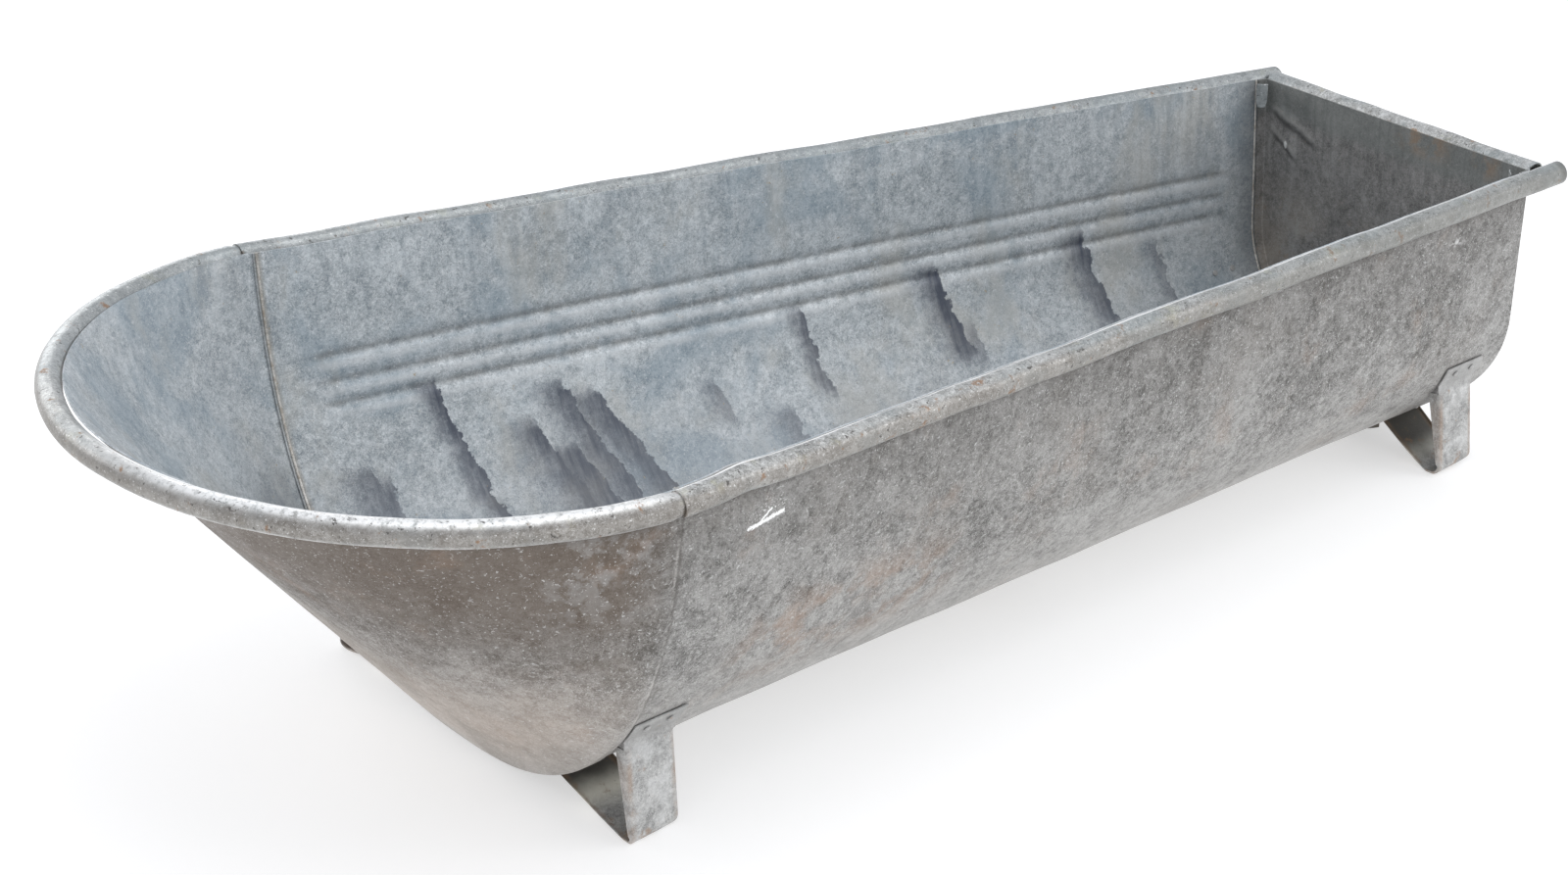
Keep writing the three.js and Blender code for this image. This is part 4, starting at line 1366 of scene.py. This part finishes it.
def trimmed(v, height):
    """How much the strap's rear edge is cut back, so that the plate's lower corner is round."""
    if v > TREAD_END:
        return CORNER * (1 - ease(v, TREAD_END, TREAD_END + 0.12))
    short = max(CORNER - height, 0.0) / CORNER if v > LAP_END else 0.0
    return CORNER * (1 - math.sqrt(1 - short * short))


print("lips:", [round(1000 * lip_depth(v), 1) for v in (0.1, 0.3, 0.5, 0.8)], "mm")

# %% [markdown]
# Now the leg is laid row by row. Across the strap, a grid's column is a place on the lip, on the
# small bend beside it or on the face. The face's own normal says which way a lip turns. Solidify
# thickens the sheet, and a narrow bevel takes the sharpness off its cut edges.

# %% Legs
LAP_MARGIN = 1.2 * MM       # how far the flat lap is wider than the face


def rounded_edges(strap):
    apply_modifier(strap, "BEVEL", width=0.3 * MM, segments=2, limit_method="ANGLE",
                   angle_limit=math.radians(50))
    smooth(strap, 40)


def leg(name, foot, side, node):
    def place(u, v):
        turned = max(LIP_PART - u, u - (1 - LIP_PART), 0.0) / LIP_PART
        face = min(max((u - LIP_PART) / (1 - 2 * LIP_PART), 0.0), 1.0)
        x = foot["x"] + face * STRAP_WIDTH
        y, z = leg_profile(foot, x, v)
        x -= trimmed(v, z) * ease(face, 0.55, 1.0)
        a = leg_profile(foot, x, max(v - 0.004, 0))
        b = leg_profile(foot, x, min(v + 0.004, 1))
        inward = Vector((b[1] - a[1], a[0] - b[0])).normalized()
        lip = lip_depth(v)
        if lip == 0:
            worn = 0.5 * MM * wander(Vector((x, v, side)), 0.02, 22)
            x += math.copysign(LAP_MARGIN + worn, u - 0.5) * turned
            z += 1.5 * worn if v < 0.02 else 0
            return Vector((SEAM_X + x, side * y, z))
        bend = max(1 - min(face, 1 - face) * STRAP_WIDTH / LIP_BEND, 0.0)
        round_in = LIP_BEND * (1 - math.sqrt(1 - bend * bend))
        inset = round_in + max(lip - round_in, 0) * turned
        return Vector((SEAM_X + x, side * (y + inward.x * inset), z + inward.y * inset))

    strap = bent_sheet(name, 44, 96, place, [strap_zinc], thickness=-side * SHEET)
    rounded_edges(strap)
    return finish_piece(strap, "foot_strap", node)


for foot_name, foot in FEET.items():
    for word, side in SIDES:
        leg(f"{foot_name}_{word}_strap", foot, side, f"{foot_name}_{word}_leg")

# %% [markdown]
# Between the two legs a shallow channel lies under the belly and carries it. A straight strip
# would touch at one place only, so this sheet is laid on the belly's own curve. Both its edges
# are turned down, for stiffness.

# %% Cradles
CRADLE_LIP = 6 * MM
CRADLE_LIP_PART = 0.08


def cradle(name, foot, node):
    reach = foot["touch"] - 4 * MM

    def place(u, v):
        lip = 1 - min(min(u, 1 - u) / CRADLE_LIP_PART, 1.0)
        face = min(max((u - CRADLE_LIP_PART) / (1 - 2 * CRADLE_LIP_PART), 0), 1)
        x = foot["x"] + face * STRAP_WIDTH
        y = mix(-reach, reach, v)
        z = rim_height(x) - depth_at(x, abs(y)) - 1.5 * GAP - SHEET - CRADLE_LIP * lip
        return Vector((SEAM_X + x, y, z))

    piece = bent_sheet(name, 28, 60, place, [strap_zinc])
    rounded_edges(piece)
    return finish_piece(piece, "foot_strap", node)


for foot_name, foot in FEET.items():
    cradle(f"{foot_name}_belly_strap", foot, f"{foot_name}_cradle")

# %% [markdown]
# The rivets are all alike: a shank through strap and sheet, a domed head outside and a flat
# one inside. One is modelled upright, from a cylinder whose end faces are drawn out, and each
# copy is then laid along its own hole.

# %% One rivet
RIVET_R = 2 * MM
RIVET_HEAD_R = 3.6 * MM
RIVET_PITCH = 26 * MM
OUTER = OFF_SKIN + 2 * GAP
INNER = -SHEET - 2 * GAP
MIDDLE = (OUTER + INNER) / 2
DOME = [(0.01 * MM, RIVET_HEAD_R / RIVET_R), (0.5 * MM, 0.97), (0.55 * MM, 0.86),
        (0.45 * MM, 0.70), (0.2 * MM, 0.45)]
TAIL = [(-0.01 * MM, 1.65), (-0.7 * MM, 0.96), (-0.3 * MM, 0.6)]


def grow_end(piece, top, steps):
    """Draws out one end face: each step is a rise and a scale."""
    bpy.ops.mesh.select_all(action="DESELECT")
    bpy.ops.object.mode_set(mode="OBJECT")
    way = 1 if top else -1
    for face in piece.data.polygons:
        face.select = face.normal.z * way > 0.9 and (face.center.z - MIDDLE) * way > 0
    bpy.ops.object.mode_set(mode="EDIT")
    height = OUTER if top else INNER
    for rise, scale in steps:
        bpy.ops.mesh.extrude_region_move(TRANSFORM_OT_translate={"value": (0, 0, rise)})
        height += rise
        bpy.ops.transform.resize(value=(scale, scale, 1), center_override=(0, 0, height))


deselect()
bpy.ops.mesh.primitive_cylinder_add(vertices=20, radius=RIVET_R, depth=OUTER - INNER,
                                    location=(0, 0, MIDDLE))
first_rivet = bpy.context.object
first_rivet.name = "rivet"
bpy.ops.object.transform_apply(location=True, rotation=True, scale=True)
bpy.ops.object.mode_set(mode="EDIT")
bpy.ops.mesh.select_mode(type="FACE")
grow_end(first_rivet, True, DOME)
grow_end(first_rivet, False, TAIL)
bpy.ops.object.mode_set(mode="OBJECT")
smooth(first_rivet, 45)
first_rivet.data.materials.append(strap_zinc)
print("rivet length", round(first_rivet.dimensions.z * 1000, 2), "mm")

# %% [markdown]
# Two rivets sit side by side near the top of each lap. Each copy has its own mesh, and the turn
# that stands its shank square on the wall, and its place, are put into that mesh.

# %% All rivets
RIVET_BELOW_TOP = 8 * MM


def rivet_place(foot, side, n):
    """The turn and place of rivet n, 0 or 1, of a leg."""
    x = foot["x"] + STRAP_WIDTH / 2 + (n - 0.5) * RIVET_PITCH
    height = LAP_TOP - RIVET_BELOW_TOP
    depth = rim_height(x) - height
    slope = (half_width(x, depth + 1 * MM) - half_width(x, depth - 1 * MM)) / (2 * MM)
    direction = Vector((TAPER, side, slope)).normalized()
    skin = Vector((SEAM_X + x, side * half_width(x, depth), height))
    return Matrix.Translation(skin) @ direction.to_track_quat("Z", "Y").to_matrix().to_4x4()


for foot_name, foot in FEET.items():
    for word, side in SIDES:
        for n in (0, 1):
            mesh = first_rivet.data.copy()
            rivet = bpy.data.objects.new(f"{foot_name}_{word}_stud_{n + 1}", mesh)
            bpy.context.scene.collection.objects.link(rivet)
            rivet.data.transform(rivet_place(foot, side, n))
            finish_piece(rivet, "foot_strap", f"{foot_name}_{word}_rivet_{n + 1}")
bpy.data.objects.remove(first_rivet)
